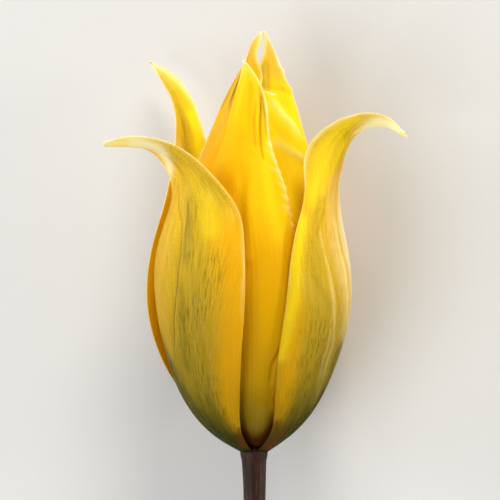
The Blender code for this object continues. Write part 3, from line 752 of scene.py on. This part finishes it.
innerFront = {
    "node": "inner_tepal_front", "slot": "inner_tepal", "outside": "innerOutside", "inside": "innerInside",
    "left": [
        (-45, 1.5, 1.0), (-42, 4.0, 3.2), (-40, 8.2, 7.4), (-42, 11.1, 14.0), (-41, 12.6, 22.0), (-41, 11.9, 30.0),
        (-44, 10.1, 37.4), (-40, 7.0, 44.6), (-37, 4.9, 50.0), (-36, 3.4, 53.6), (-38, 2.4, 56.0),
    ],
    "midrib": [
        (4, 1.5, 0.9), (5, 4.3, 2.8), (5, 8.2, 7.0), (6, 11.2, 14.0), (6, 13.0, 22.0), (4, 12.6, 30.0),
        (-2, 10.8, 37.4), (-10, 8.2, 44.6), (-12, 5.7, 50.0), (-14, 3.9, 53.6), (-34, 2.6, 56.1),
    ],
    "right": [
        (50, 1.5, 1.0), (46, 3.9, 3.2), (34, 7.8, 7.4), (28, 10.6, 14.0), (36, 12.3, 22.0), (32, 11.2, 30.0),
        (28, 9.6, 37.4), (17, 7.8, 44.6), (19, 5.4, 50.0), (6, 3.6, 53.6), (-31, 2.6, 56.0),
    ],
    "columns": 96,
    "seed": 41,
    "wall": {"body": 0.34, "margin": 0.14, "tip": 0.26},
    "margins": (0.0, 0.75),  # how strong the painted rim light is on the left and the right margin
    "ribs": ((3.0, 60.0, 0.03), (1.0, 30.0, 0.012)),
    "waviness": 0.04,
    "ruffles": [],
    "crimps": [
        {"side": 1, "from": 0.575, "to": 0.775, "gap": 0.021, "reach": 0.26, "slope": 0.012, "height": 0.2, "seed": 3, "wash": "creamAndHighlight"},
    ],
    "folds": [
        {"path": [(0.78, -0.1), (0.69, -0.16), (0.64, -0.28), (0.56, -0.38), (0.48, -0.45)], "width": (0.9, 0.8), "height": -0.3},
        {"path": [(0.72, 0.15), (0.675, 0.03), (0.647, -0.08), (0.59, -0.18), (0.5, -0.25)], "width": (0.9, 1.0), "height": 0.22},
        {"path": [(0.9, 0.8), (0.863, 0.74), (0.81, 0.68), (0.74, 0.58)], "width": (0.12, 0.18), "height": -0.28},
        {"path": [(0.88, 0.52), (0.84, 0.45), (0.77, 0.4)], "width": (0.14, 0.2), "height": -0.14},
        {"path": [(0.97, 0.3), (0.9, 0.35), (0.84, 0.25), (0.76, 0.2)], "width": (0.3, 0.5), "height": 0.12},
        {"path": [(0.295, 0.52), (0.25, 0.3), (0.21, 0.28)], "width": (0.35, 0.6), "height": -0.22},
    ],
    # Painted light here. The amber strokes are painted shade on the left plane, near the top beside the rolled margin,
    # and in the crease low on the right. The lemon strokes are painted highlights on the lit panel and the left margin.
    # The shade strokes are painted shadow along the rolled right margin and its creases. The cream strokes and the
    # pleats' cream are painted highlights on the crinkled margin.
    "outsideWashes": {
        "amberShade": [
            {"path": [(0.8, -0.2), (0.72, -0.4), (0.62, -0.65)], "width": (1.2, 2.2), "strength": (0.3, 0.8)},
            {"path": [(0.93, 0.3), (0.86, 0.3), (0.78, 0.4)], "width": (0.4, 0.7), "strength": (0.8, 0.7)},
            {"path": [(0.28, 0.55), (0.22, 0.55), (0.14, 0.6)], "width": (0.8, 1.2), "strength": (0.9, 0.9)},
        ],
        "lemonAndHighlight": [
            {"path": [(0.76, 0.75), (0.68, 0.5), (0.62, 0.4), (0.56, 0.5)], "width": (0.8, 1.8), "strength": (0.4, 0.3)},
            {"path": [(0.97, -0.3), (0.9, -0.5), (0.85, -0.5)], "width": (0.5, 0.6), "strength": (0.6, 0.3)},
            {"path": [(0.97, -0.9), (0.9, -0.95), (0.83, -0.95)], "width": (0.2, 0.2), "strength": (0.7, 0.5)},
            {"path": [(0.61, 0.9), (0.575, 0.85)], "width": (0.8, 0.9), "strength": (0.8, 0.6)},
        ],
        "khakiAndShade": [{"path": [(0.13, 0.0), (0.08, 0.0)], "width": (1.6, 2.0), "strength": (0.5, 0.5)}],
        "shade": [
            {"path": [(0.92, 0.84), (0.863, 0.74), (0.81, 0.68), (0.73, 0.56)], "width": (0.12, 0.14), "strength": (0.5, 1.0, 0.1)},
            {"path": [(0.88, 0.52), (0.84, 0.45), (0.77, 0.4)], "width": (0.12, 0.12), "strength": (0.1, 0.5, 0.1)},
            {"path": [(0.93, 0.88), (0.89, 0.88), (0.85, 0.88), (0.8, 0.88)], "width": (0.16, 0.16), "strength": (0.6, 1.0, 0.3)},
        ],
        "creamAndHighlight": [
            {"path": [(0.99, 0.9), (0.94, 0.97), (0.9, 0.99), (0.83, 0.99), (0.77, 0.98), (0.69, 0.99), (0.58, 0.99)],
             "width": (0.16, 0.14, 0.24), "strength": (0.9, 0.6, 0.8)},
            {"path": [(0.98, -0.8), (0.93, -0.95)], "width": (0.15, 0.15), "strength": (0.6, 0.6)},
        ],
        "wine": [
            {"path": [(0.0, -0.5), (0.055, -0.7), (0.085, -0.85)], "width": (0.9, 0.5), "strength": (1.0, 0.8)},
            {"path": [(0.0, 0.5), (0.06, 0.6), (0.12, 0.8)], "width": (0.9, 0.5), "strength": (1.0, 0.9)},
        ],
    },
    "insideWashes": {},
}
makePetal("innerPetalFront", innerFront)

innerLeft = {
    "node": "inner_tepal_left", "slot": "inner_tepal", "outside": "innerOutside", "inside": "innerInside",
    "left": [
        (-161, 1.5, 1.0), (-156, 4.0, 3.2), (-150, 8.4, 7.4), (-150, 11.6, 14.0), (-150, 12.6, 22.0),
        (-150, 11.6, 30.0), (-152, 9.4, 37.4), (-154, 6.6, 44.6), (-158, 4.2, 50.0), (-165, 2.2, 54.2),
        (-130, 0.8, 56.6), (110, 0.5, 58.7), (86, 1.1, 60.1),
    ],
    "midrib": [
        (-112, 1.5, 0.9), (-106, 4.3, 2.8), (-100, 8.6, 7.0), (-98, 11.8, 14.0), (-98, 12.9, 22.0),
        (-98, 12.1, 30.0), (-98, 9.9, 37.4), (-98, 6.8, 44.6), (-98, 4.5, 50.0), (-95, 2.3, 54.2),
        (-72, 1.1, 56.6), (-35, 0.55, 58.7), (80, 1.18, 60.2),
    ],
    "right": [
        (-65, 1.5, 1.0), (-56, 4.0, 3.2), (-52, 8.0, 7.4), (-50, 11.0, 14.0), (-48, 12.0, 22.0), (-48, 11.2, 30.0),
        (-46, 9.0, 37.4), (-40, 6.2, 44.6), (-5, 4.1, 50.0), (23, 2.8, 54.2), (12, 1.6, 56.6), (42, 1.3, 58.7),
        (75, 1.26, 60.2),
    ],
    "columns": 120,
    "seed": 53,
    "wall": {"body": 0.34, "margin": 0.14, "tip": 0.2},
    "margins": (0.5, 0.75),  # how strong the painted rim light is on the left and the right margin
    "ribs": ((3.0, 50.0, 0.04), (1.0, 30.0, 0.02)),
    "waviness": 0.05,
    "ruffles": [],
    "folds": [],
    # Painted light here. The white stroke is painted rim light along the left edge. The khaki strokes are partly
    # painted shade. The cream stroke is a painted highlight.
    "outsideWashes": {
        "amberShade": [{"path": [(0.7, 0.9), (0.6, 0.8)], "width": (1.6, 2.0), "strength": (0.6, 0.8)}],
        "tan": [
            {"path": [(0.97, 0.5), (0.9, 0.4), (0.83, 0.5), (0.76, 0.6), (0.7, 0.5)], "width": (1.0, 1.4), "strength": (0.4, 0.55)},
        ],
        "khakiAndShade": [
            {"path": [(0.9, 0.05), (0.875, 0.1), (0.85, 0.12), (0.82, 0.16)], "width": (0.35, 0.8), "strength": (0.9, 0.9)},
            {"path": [(0.98, 0.3), (0.95, 0.3), (0.925, 0.3), (0.9, 0.4)], "width": (0.25, 0.35), "strength": (0.6, 0.9)},
        ],
        # painted shadow: the dark gap line beside the front inner petal's left margin
        "veinAndShadowLine": [
            {"path": [(0.9, 0.24), (0.877, 0.34), (0.863, 0.38), (0.845, 0.42), (0.825, 0.47), (0.8, 0.58)],
             "width": (0.16, 0.2), "strength": (0.4, 0.8, 0.9, 0.7, 0.1)},
        ],
        "creamAndHighlight": [
            {"path": [(0.78, 0.06), (0.74, 0.16), (0.7, 0.24), (0.66, 0.3)], "width": (0.5, 1.0), "strength": (0.4, 0.6)},
        ],
        "white": [
            {"path": [(0.98, -0.1), (0.95, -0.12), (0.925, -0.2), (0.9, -0.16), (0.875, -0.13), (0.85, -0.1), (0.8, -0.03),
                      (0.75, 0.07), (0.7, 0.13), (0.64, 0.14)], "width": (0.4, 0.5, 0.6, 0.7), "strength": (1.0, 0.7, 0.4, 0.2)},
        ],
    },
    "insideWashes": {},
}
makePetal("innerPetalLeft", innerLeft)

innerRight = {
    "node": "inner_tepal_right", "slot": "inner_tepal", "outside": "innerOutside", "inside": "innerInside",
    "left": [
        (73, 1.5, 1.0), (72, 3.9, 3.2), (78, 7.9, 7.4), (62, 10.9, 14.0), (46, 11.7, 22.0), (31, 10.4, 30.0),
        (20, 8.5, 37.4), (8, 6.3, 44.6), (12, 3.5, 50.0), (12, 1.2, 54.0), (80, 1.31, 56.9), (97, 1.36, 60.2),
    ],
    "midrib": [
        (126, 1.5, 0.9), (128, 4.3, 2.8), (130, 8.9, 7.0), (129, 12.7, 14.0), (126, 14.2, 22.0), (119, 13.0, 30.0),
        (106, 10.2, 37.4), (98, 7.6, 44.6), (96, 5.95, 50.0), (98, 4.2, 54.4), (102, 3.2, 57.2), (103, 1.66, 60.3),
    ],
    "right": [
        (179, 1.5, 1.0), (174, 4.0, 3.2), (174, 8.6, 7.4), (180, 12.0, 14.0), (184, 13.6, 22.0), (184, 12.5, 30.0),
        (176, 10.0, 37.4), (174, 7.2, 44.6), (168, 4.6, 50.0), (160, 2.6, 54.4), (128, 2.1, 57.2), (112, 1.88, 60.2),
    ],
    "columns": 160,
    "seed": 67,
    "wall": {"body": 0.34, "margin": 0.14, "tip": 0.2},
    "margins": (0.8, 0.6),  # how strong the painted rim light is on the left and the right margin
    "ribs": ((3.0, 50.0, 0.03), (1.0, 30.0, 0.015)),
    "waviness": 0.05,
    "ruffles": [],
    "folds": [
        {"path": [(0.872, -0.93), (0.864, -0.75), (0.862, -0.5)], "width": (0.5, 0.35), "height": -0.2},
        {"path": [(0.848, -0.95), (0.84, -0.75), (0.838, -0.5)], "width": (0.7, 0.8), "height": 0.22},
        {"path": [(0.835, -0.8), (0.8, -0.64), (0.78, -0.48), (0.75, -0.35)], "width": (0.5, 0.8), "height": 0.28},
        {"path": [(0.81, -0.85), (0.78, -0.72), (0.75, -0.6)], "width": (0.8, 0.8), "height": -0.16},
        {"path": [(0.765, -0.86), (0.73, -0.7), (0.71, -0.5)], "width": (0.7, 0.9), "height": 0.3},
        {"path": [(0.93, -0.8), (0.89, -0.75), (0.865, -0.8)], "width": (0.25, 0.3), "height": -0.14},
        {"path": [(0.908, -0.2), (0.905, 0.1)], "width": (0.5, 0.5), "height": 0.2},
        {"path": [(0.865, -0.4), (0.862, 0.0)], "width": (0.6, 0.6), "height": 0.25},
    ],
    # Painted light here. The lemon, cream and white strokes are painted highlights on the folds and the crease, and
    # painted rim light along the right edge. The amber strokes are painted shade under the crease and beside the front
    # inner petal's margin.
    "outsideWashes": {
        "amberShade": [
            {"path": [(0.848, -0.7), (0.845, -0.5), (0.835, -0.4)], "width": (0.4, 0.5), "strength": (0.6, 0.4)},
            {"path": [(0.8, -0.86), (0.78, -0.78), (0.74, -0.72)], "width": (0.9, 0.9), "strength": (0.6, 0.5)},
        ],
        "lemonAndHighlight": [
            {"path": [(0.83, -0.8), (0.8, -0.64), (0.78, -0.5), (0.74, -0.4)], "width": (0.8, 1.3), "strength": (0.9, 1.0)},
            {"path": [(0.83, -0.4), (0.75, -0.5), (0.67, -0.7), (0.58, -0.85)], "width": (3.0, 3.0), "strength": (0.5, 0.55)},
            {"path": [(0.75, -0.84), (0.725, -0.68), (0.715, -0.5)], "width": (0.8, 1.4), "strength": (0.9, 1.0)},
            {"path": [(0.84, -0.3), (0.78, -0.3), (0.72, -0.35)], "width": (0.7, 0.9), "strength": (0.6, 0.7)},
            {"path": [(0.69, -0.6), (0.65, -0.66), (0.6, -0.8)], "width": (1.2, 2.2), "strength": (0.5, 0.5)},
        ],
        "tan": [{"path": [(0.98, -0.3), (0.94, -0.45), (0.9, -0.5)], "width": (0.8, 1.2), "strength": (0.9, 0.6)}],
        "khakiAndShade": [{"path": [(0.93, -0.88), (0.9, -0.8), (0.865, -0.85)], "width": (0.3, 0.4), "strength": (0.8, 0.8)}],
        "shade": [
            {"path": [(0.925, -0.9), (0.9, -0.86), (0.87, -0.9)], "width": (0.14, 0.14), "strength": (0.5, 0.7, 0.3)},
            {"path": [(0.925, -0.76), (0.9, -0.73), (0.865, -0.78)], "width": (0.12, 0.12), "strength": (0.2, 0.5, 0.2)},
        ],
        "white": [
            {"path": [(0.985, 0.08), (0.93, 0.0), (0.905, 0.02), (0.86, 0.01), (0.8, -0.02), (0.74, -0.03)],
             "width": (0.5, 0.7, 0.7, 0.7), "strength": (0.7, 0.9, 0.5, 0.3)},
            {"path": [(0.94, -0.1), (0.92, -0.14), (0.9, -0.1)], "width": (0.3, 0.5), "strength": (0.3, 0.7, 0.3)},
            {"path": [(0.856, -0.82), (0.852, -0.76), (0.85, -0.7)], "width": (0.14, 0.16), "strength": (0.6, 0.9, 0.2)},
        ],
        "creamAndHighlight": [
            {"path": [(0.86, -0.88), (0.853, -0.78), (0.85, -0.68)], "width": (0.2, 0.2), "strength": (0.7, 0.4)},
            {"path": [(0.85, -0.04), (0.8, -0.1), (0.74, -0.12)], "width": (0.5, 0.6), "strength": (0.6, 0.6)},
            {"path": [(0.828, -0.78), (0.8, -0.64), (0.785, -0.5), (0.765, -0.42)], "width": (0.5, 0.7), "strength": (0.5, 0.5)},
            {"path": [(0.74, -0.82), (0.72, -0.66), (0.71, -0.5)], "width": (0.5, 0.6), "strength": (0.3, 0.5)},
        ],
    },
    "insideWashes": {},
}
makePetal("innerPetalRight", innerRight)

# Tubes and turned pieces: rings of points on a route, each ring with a half width and a half depth
def wrapRings(name, centres, sides, outs, widths, depths, around, ripple=None):
    turns = np.linspace(0.0, math.tau, around + 1)[None, :, None]
    swell = np.ones((len(centres), around + 1)) if ripple is None else ripple(turns[..., 0], np.arange(len(centres)))
    points = centres[:, None] + swell[..., None] * (
        sides[:, None] * np.cos(turns) * np.asarray(widths)[:, None, None]
        + outs[:, None] * np.sin(turns) * np.asarray(depths)[:, None, None]
    )
    shape = bmesh.new()
    bmesh.ops.create_grid(shape, x_segments=around, y_segments=len(centres) - 1, size=1.0)
    placed = layDown(points)
    rowOf = shape.verts.layers.float.new("ring")
    for vertex in shape.verts:
        column = round((vertex.co.x + 1) / 2 * around) % around
        row = round((vertex.co.y + 1) / 2 * (len(centres) - 1))
        vertex.co = placed[row, column]
        vertex[rowOf] = row
    bmesh.ops.remove_doubles(shape, verts=shape.verts, dist=1e-7)
    bmesh.ops.recalc_face_normals(shape, faces=shape.faces)
    return shape


def squareTo(centres, out):  # directions across a route: to its side, and as near to out as can be
    along = np.gradient(centres, axis=0)
    along /= np.linalg.norm(along, axis=1, keepdims=True)
    sides = np.cross(along, out)
    sides /= np.linalg.norm(sides, axis=1, keepdims=True)
    return sides, np.cross(sides, along)


def meshOf(name, shape):
    mesh = bpy.data.meshes.new(name)
    shape.to_mesh(mesh)
    shape.free()
    return mesh


# Stem, with the cut end, the collar under the petals and the core that carries what is inside
stem = {
    "node": "stem", "slot": "stem",
    "cut": -111.2, "collar": -1.2,  # mm up the axis
    "droop": 13.4, "sideways": 3.0, "over": 110.0,  # mm that the route falls and drifts over its length
    "radius": 1.55, "flareRadius": 1.85, "flareLength": 9.0,
    "rings": 200, "around": 44,
    "ridges": 7, "ridgeHeight": 0.022, "unevenness": 0.03,  # shares of the radius
    "cutEnd": ((0.0, 0.14), (0.5, 0.12), (0.95, 0.1), (1.28, 0.02), (1.42, 0.0), (1.52, 0.06)),  # radius, depth
    "slant": 0.28,  # rise of the cut across the stem
    "top": ((1.9, -0.7), (1.98, -0.25), (2.0, 0.05), (1.95, 0.3), (1.7, 0.65), (1.45, 0.95), (1.2, 1.45),
            (1.0, 1.95), (0.75, 2.15), (0.4, 2.25), (0.0, 2.28)),  # radius, height
    "skin": (("#444618", -111.0), ("#463c18", -60.0), ("#30190a", -25.0), ("#1f0e05", 0.0)),  # colour, height
    "blush": "#40140f", "bloom": "#523f28", "pith": "#c9c98a", "fibre": "#8f9450",
}


def stemSkin():  # epidermis with a waxy bloom over ribs of fibre: dull brown-maroon, softly glossy on its ridges
    material, tree = newMaterial("waxy stem skin")
    place = addNode(tree, "ShaderNodeTexCoord").outputs["Object"]
    drawn = addNode(tree, "ShaderNodeMapping", {"Vector": place, "Scale": (1 / (0.22 * mm), 1 / (5 * mm), 1 / (0.22 * mm))})
    fibres = addNode(tree, "ShaderNodeTexNoise", {"Vector": drawn.outputs[0], "Scale": 1.0, "Detail": 3.0})
    patches = addNode(tree, "ShaderNodeTexNoise", {"Vector": place, "Scale": 1 / (2.6 * mm), "Detail": 3.0})
    height = addNode(tree, "ShaderNodeAttribute", attribute_name="stemMm").outputs["Fac"]
    share = addNode(tree, "ShaderNodeMapRange", {"Value": height, "From Min": stem["skin"][0][1], "From Max": 0.0})
    ramp = addNode(tree, "ShaderNodeValToRGB", {"Fac": share.outputs[0]})
    stops = ramp.color_ramp.elements
    for colour, up in stem["skin"][1:-1]:
        stops.new(1 - up / stem["skin"][0][1]).color = linear(colour)
    stops[0].color = linear(stem["skin"][0][0])
    stops[-1].color = linear(stem["skin"][-1][0])
    colour = ramp.outputs["Color"]
    for tone, value, low, high, most in (
        (stem["blush"], patches.outputs["Fac"], 0.45, 0.7, 0.5),
        (stem["bloom"], fibres.outputs["Fac"], 0.5, 0.75, 0.45),
    ):
        amount = addNode(tree, "ShaderNodeMapRange", {"Value": value, "From Min": low, "From Max": high, "To Max": most})
        colour = addNode(tree, "ShaderNodeMix", {0: amount.outputs[0], 6: colour, 7: linear(tone)}, data_type="RGBA").outputs[2]
    cut = addNode(tree, "ShaderNodeAttribute", attribute_name="cutShare").outputs["Fac"]
    dots = addNode(tree, "ShaderNodeTexVoronoi", {"Vector": place, "Scale": 1 / (0.42 * mm)})
    bundles = addNode(tree, "ShaderNodeMapRange", {"Value": dots.outputs["Distance"], "From Min": 0.25, "From Max": 0.4})
    flesh = addNode(tree, "ShaderNodeMix", {
        0: bundles.outputs[0], 6: linear(stem["fibre"]), 7: linear(stem["pith"]),
    }, data_type="RGBA").outputs[2]
    colour = addNode(tree, "ShaderNodeMix", {0: cut, 6: colour, 7: flesh}, data_type="RGBA").outputs[2]
    bump = addNode(tree, "ShaderNodeBump", {"Height": fibres.outputs["Fac"], "Distance": 0.06 * mm})
    shader = addNode(tree, "ShaderNodeBsdfPrincipled", {
        "Base Color": colour, "Roughness": 0.5, "IOR": 1.45, "Specular IOR Level": 0.22, "Normal": bump.outputs[0],
    })
    addNode(tree, "ShaderNodeOutputMaterial", {"Surface": shader.outputs[0]})
    return material


def stemCentre(height):
    reach = -np.minimum(height, 0.0) / stem["over"]
    return np.stack([stem["sideways"] * reach ** 2, height, -stem["droop"] * reach ** 2], axis=-1)


def makeStem():
    heights = np.linspace(stem["cut"] + 0.15, stem["collar"], stem["rings"])
    flare = np.maximum(0.0, 1 + heights / stem["flareLength"]) ** 2
    radii = stem["radius"] + (stem["flareRadius"] - stem["radius"]) * flare
    cutRadii, cutDepths = np.array(stem["cutEnd"]).T
    topRadii, topHeights = np.array(stem["top"]).T
    heights = np.concatenate([stem["cut"] + 0.15 + np.zeros(len(cutDepths)), heights, topHeights])
    radii = np.concatenate([cutRadii, radii, topRadii])
    centres = stemCentre(heights)
    route = stemCentre(np.linspace(stem["cut"] - 1, 4.0, 400))
    sides, outs = squareTo(route, (0.0, 0.0, 1.0))
    nearest = np.abs(route[None, :, 1] - heights[:, None]).argmin(axis=1)
    sides, outs = sides[nearest], outs[nearest]
    centres[:len(cutDepths), 1] = stem["cut"] + cutDepths
    rough = wobble(heights / 14, 0.0, 5)

    def ripple(turns, rings):
        ridge = stem["ridgeHeight"] * np.cos(stem["ridges"] * turns + 0.6 * np.sin(heights[rings] / 17)[:, None])
        fade = ease(-heights, -0.5, 6.0)[rings][:, None]
        return 1 + fade * (ridge + stem["unevenness"] * rough[rings][:, None] * np.sin(turns + 1.0))

    shape = wrapRings("stem", centres, sides, outs, radii, radii, stem["around"], ripple)
    ring = shape.verts.layers.float["ring"]
    stemMm = shape.verts.layers.float.new("stemMm")
    cutShare = shape.verts.layers.float.new("cutShare")
    base = Vector(flower["place"]) * mm
    for vertex in shape.verts:
        row = round(vertex[ring])
        vertex[stemMm] = heights[row]
        vertex[cutShare] = 1.0 if row < len(cutDepths) - 2 else 0.0
        local = turned.transposed() @ (vertex.co - base) / mm
        lift = max(0.0, 1 - (local.y - stem["cut"]) / 5.0)
        vertex.co += turned @ Vector((0.0, stem["slant"] * lift * (stem["radius"] + local.z + stem["droop"]), 0.0)) * mm
    addPiece("stemAndCore", meshOf("stemAndCore", shape), [stemSkin()], stem["node"])


makeStem()
print("stem is", round(-stem["cut"], 1), "mm long")

# Stamens: a filament with a hairy foot and an anther of two lobes, each split by a furrow
stamens = {
    "angles": {"front_left": -50, "front_right": 60, "back": -172, "front": 4, "left": -108, "right": 124},
    "route": ((0.95, 1.7), (1.35, 2.3), (2.1, 3.5), (3.0, 5.6), (3.5, 8.0), (3.7, 10.4), (3.7, 11.2)),  # radius, height
    "radii": (0.4, 0.4, 0.38, 0.35, 0.3, 0.2, 0.1),
    "hairs": 60, "hairLength": (0.5, 1.0), "hairRadius": 0.028, "hairTop": 5.0,
    "antherFoot": 10.75, "antherLength": 6.0, "width": 0.72, "depth": 0.56,
    "furrow": 0.32, "slit": 0.16, "pollen": 0.03,
}


def waxySkin(name, colour, other, patch, roughness):  # thin waxed cell skin: softly glossy, two tones in soft patches
    material, tree = newMaterial(name)
    place = addNode(tree, "ShaderNodeTexCoord").outputs["Object"]
    tones = addNode(tree, "ShaderNodeTexNoise", {"Vector": place, "Scale": 1 / (patch * mm), "Detail": 4.0})
    share = addNode(tree, "ShaderNodeMapRange", {"Value": tones.outputs["Fac"], "From Min": 0.35, "From Max": 0.65})
    mixed = addNode(tree, "ShaderNodeMix", {0: share.outputs[0], 6: linear(colour), 7: linear(other)}, data_type="RGBA")
    cells = addNode(tree, "ShaderNodeTexVoronoi", {"Vector": place, "Scale": 1 / (0.16 * mm)})
    bump = addNode(tree, "ShaderNodeBump", {"Height": cells.outputs["Distance"], "Distance": 0.02 * mm})
    shader = addNode(tree, "ShaderNodeBsdfPrincipled", {
        "Base Color": mixed.outputs[2], "Roughness": roughness, "IOR": 1.42, "Normal": bump.outputs[0],
    })
    addNode(tree, "ShaderNodeOutputMaterial", {"Surface": shader.outputs[0]})
    return material


filamentSkin = waxySkin("waxy filament skin", "#f0c232", "#dca41e", 1.5, 0.4)
pollenCoat = waxySkin("pollen", "#f0b010", "#c98608", 0.3, 0.85)  # dusty grains: no gloss at all
ovarySkin = waxySkin("waxy ovary skin", "#8f9c3c", "#a9ac4a", 1.8, 0.38)


def makeFilament(place, angle):
    rail = np.array([aroundAxis(angle, radius, height) for radius, height in stamens["route"]])
    knots = np.concatenate([[0.0], np.cumsum(np.linalg.norm(np.diff(rail, axis=0), axis=1))])
    steps = np.linspace(0.0, knots[-1], 40)
    centres = smoothRail(rail, knots, steps)
    radii = np.interp(steps, knots, stamens["radii"])
    out = aroundAxis(angle, 1.0, 0.0)
    sides, outs = squareTo(centres, out)
    centres = np.concatenate([centres[:1], centres, centres[-1:]])
    sides, outs = (np.concatenate([a[:1], a, a[-1:]]) for a in (sides, outs))
    radii = np.concatenate([[0.0], radii, [0.0]])
    shape = wrapRings("filament", centres, sides, outs, radii * 1.15, radii * 0.85, 16)
    draw = np.random.default_rng(abs(angle) + 7)
    feet = np.flatnonzero(centres[:, 1] < stamens["hairTop"])
    for _ in range(stamens["hairs"]):
        ring = draw.choice(feet[1:])
        turn = draw.uniform(0.0, math.tau)
        away = sides[ring] * math.cos(turn) + outs[ring] * math.sin(turn)
        lean = away + np.array([0.0, draw.uniform(0.1, 0.9), 0.0])
        long = draw.uniform(*stamens["hairLength"]) * mm
        root = turned @ Vector((centres[ring] + away * radii[ring] * 0.8).tolist()) * mm + Vector(flower["place"]) * mm
        aim = (turned @ Vector(lean.tolist())).to_track_quat("Z", "Y").to_matrix().to_4x4()
        bmesh.ops.create_cone(
            shape, cap_ends=True, segments=5, radius1=stamens["hairRadius"] * mm, radius2=0.15 * stamens["hairRadius"] * mm,
            depth=long, matrix=Matrix.Translation(root) @ aim @ Matrix.Translation((0.0, 0.0, long / 2)),
        )
    addPiece("filament." + place, meshOf("filament", shape), [filamentSkin], "filament_" + place)


def makeAnther(place, angle):
    ends = np.linspace(-1.0, 1.0, 61)
    profile = np.sqrt(np.clip(1 - np.abs(ends) ** 3.2, 0.0, 1.0)) * (1 - 0.12 * ends)
    radius = stamens["route"][-1][0]
    heights = stamens["antherFoot"] + (ends + 1) / 2 * stamens["antherLength"]
    bow = 0.25 * (1 - ends ** 2)
    centres = np.array([aroundAxis(angle, radius - b, h) for b, h in zip(bow, heights)])
    sides = np.repeat(aroundAxis(angle + 90, 1.0, 0.0)[None], len(ends), axis=0)
    outs = np.repeat(aroundAxis(angle, 1.0, 0.0)[None], len(ends), axis=0)

    def ripple(turns, rings):
        furrow = sum(np.exp(-((turns - at) / 0.3) ** 2) for at in (math.pi / 2, 3 * math.pi / 2))
        slit = sum(np.exp(-((turns - at) / 0.14) ** 2) for at in (0.0, math.pi, math.tau))
        grains = stamens["pollen"] * wobble(turns * 4.5, rings[:, None] / 2.2, 31, 25)
        return 1 - stamens["furrow"] * furrow - stamens["slit"] * slit + grains

    shape = wrapRings("anther", centres, sides, outs, profile * stamens["width"], profile * stamens["depth"], 56, ripple)
    addPiece("anther." + place, meshOf("anther", shape), [pollenCoat], "anther_" + place)


for place, angle in stamens["angles"].items():
    makeFilament(place, angle)
    makeAnther(place, angle)
print("six stamens are made")

# Pistil: a three-sided ovary under a stigma of three crested lobes
pistil = {
    "node": "pistil", "slot": "pistil",
    "profile": ((0.0, 1.9), (0.45, 1.95), (0.62, 2.5), (1.15, 3.8), (1.65, 5.6), (1.8, 8.0), (1.7, 10.5), (1.45, 12.8),
                (1.22, 14.0), (1.5, 14.7), (1.85, 15.5), (1.7, 16.0), (1.0, 15.9), (0.0, 15.6)),  # radius, height
    "ridge": 0.07, "lobe": 0.28, "neck": 14.0, "crests": 0.05,
    "rings": 120, "around": 96,
}


def makePistil():
    outline = np.array([(radius, height, 0.0) for radius, height in pistil["profile"]])
    knots = np.concatenate([[0.0], np.cumsum(np.linalg.norm(np.diff(outline, axis=0), axis=1))])
    turned2 = smoothRail(outline, knots, np.linspace(0.0, knots[-1], pistil["rings"]))
    radii, heights = np.maximum(turned2[:, 0], 0.0), turned2[:, 1]
    radii[[0, -1]] = 0.0
    centres = np.stack([0 * heights, heights, 0 * heights], axis=1)
    sides = np.repeat([[1.0, 0.0, 0.0]], len(heights), axis=0)
    outs = np.repeat([[0.0, 0.0, 1.0]], len(heights), axis=0)
    stigma = ease(heights, pistil["neck"], pistil["neck"] + 0.8)

    def ripple(turns, rings):
        three = np.cos(3 * (turns - math.pi / 2))
        top = stigma[rings][:, None]
        crest = pistil["crests"] * np.abs(np.sin(18 * turns)) * top
        return 1 + three * (pistil["ridge"] * (1 - top) + pistil["lobe"] * top) + crest

    shape = wrapRings("pistil", centres, sides, outs, radii, radii, pistil["around"], ripple)
    addPiece("pistilAndStigma", meshOf("pistilAndStigma", shape), [ovarySkin], pistil["node"])


makePistil()
print("pistil is made")
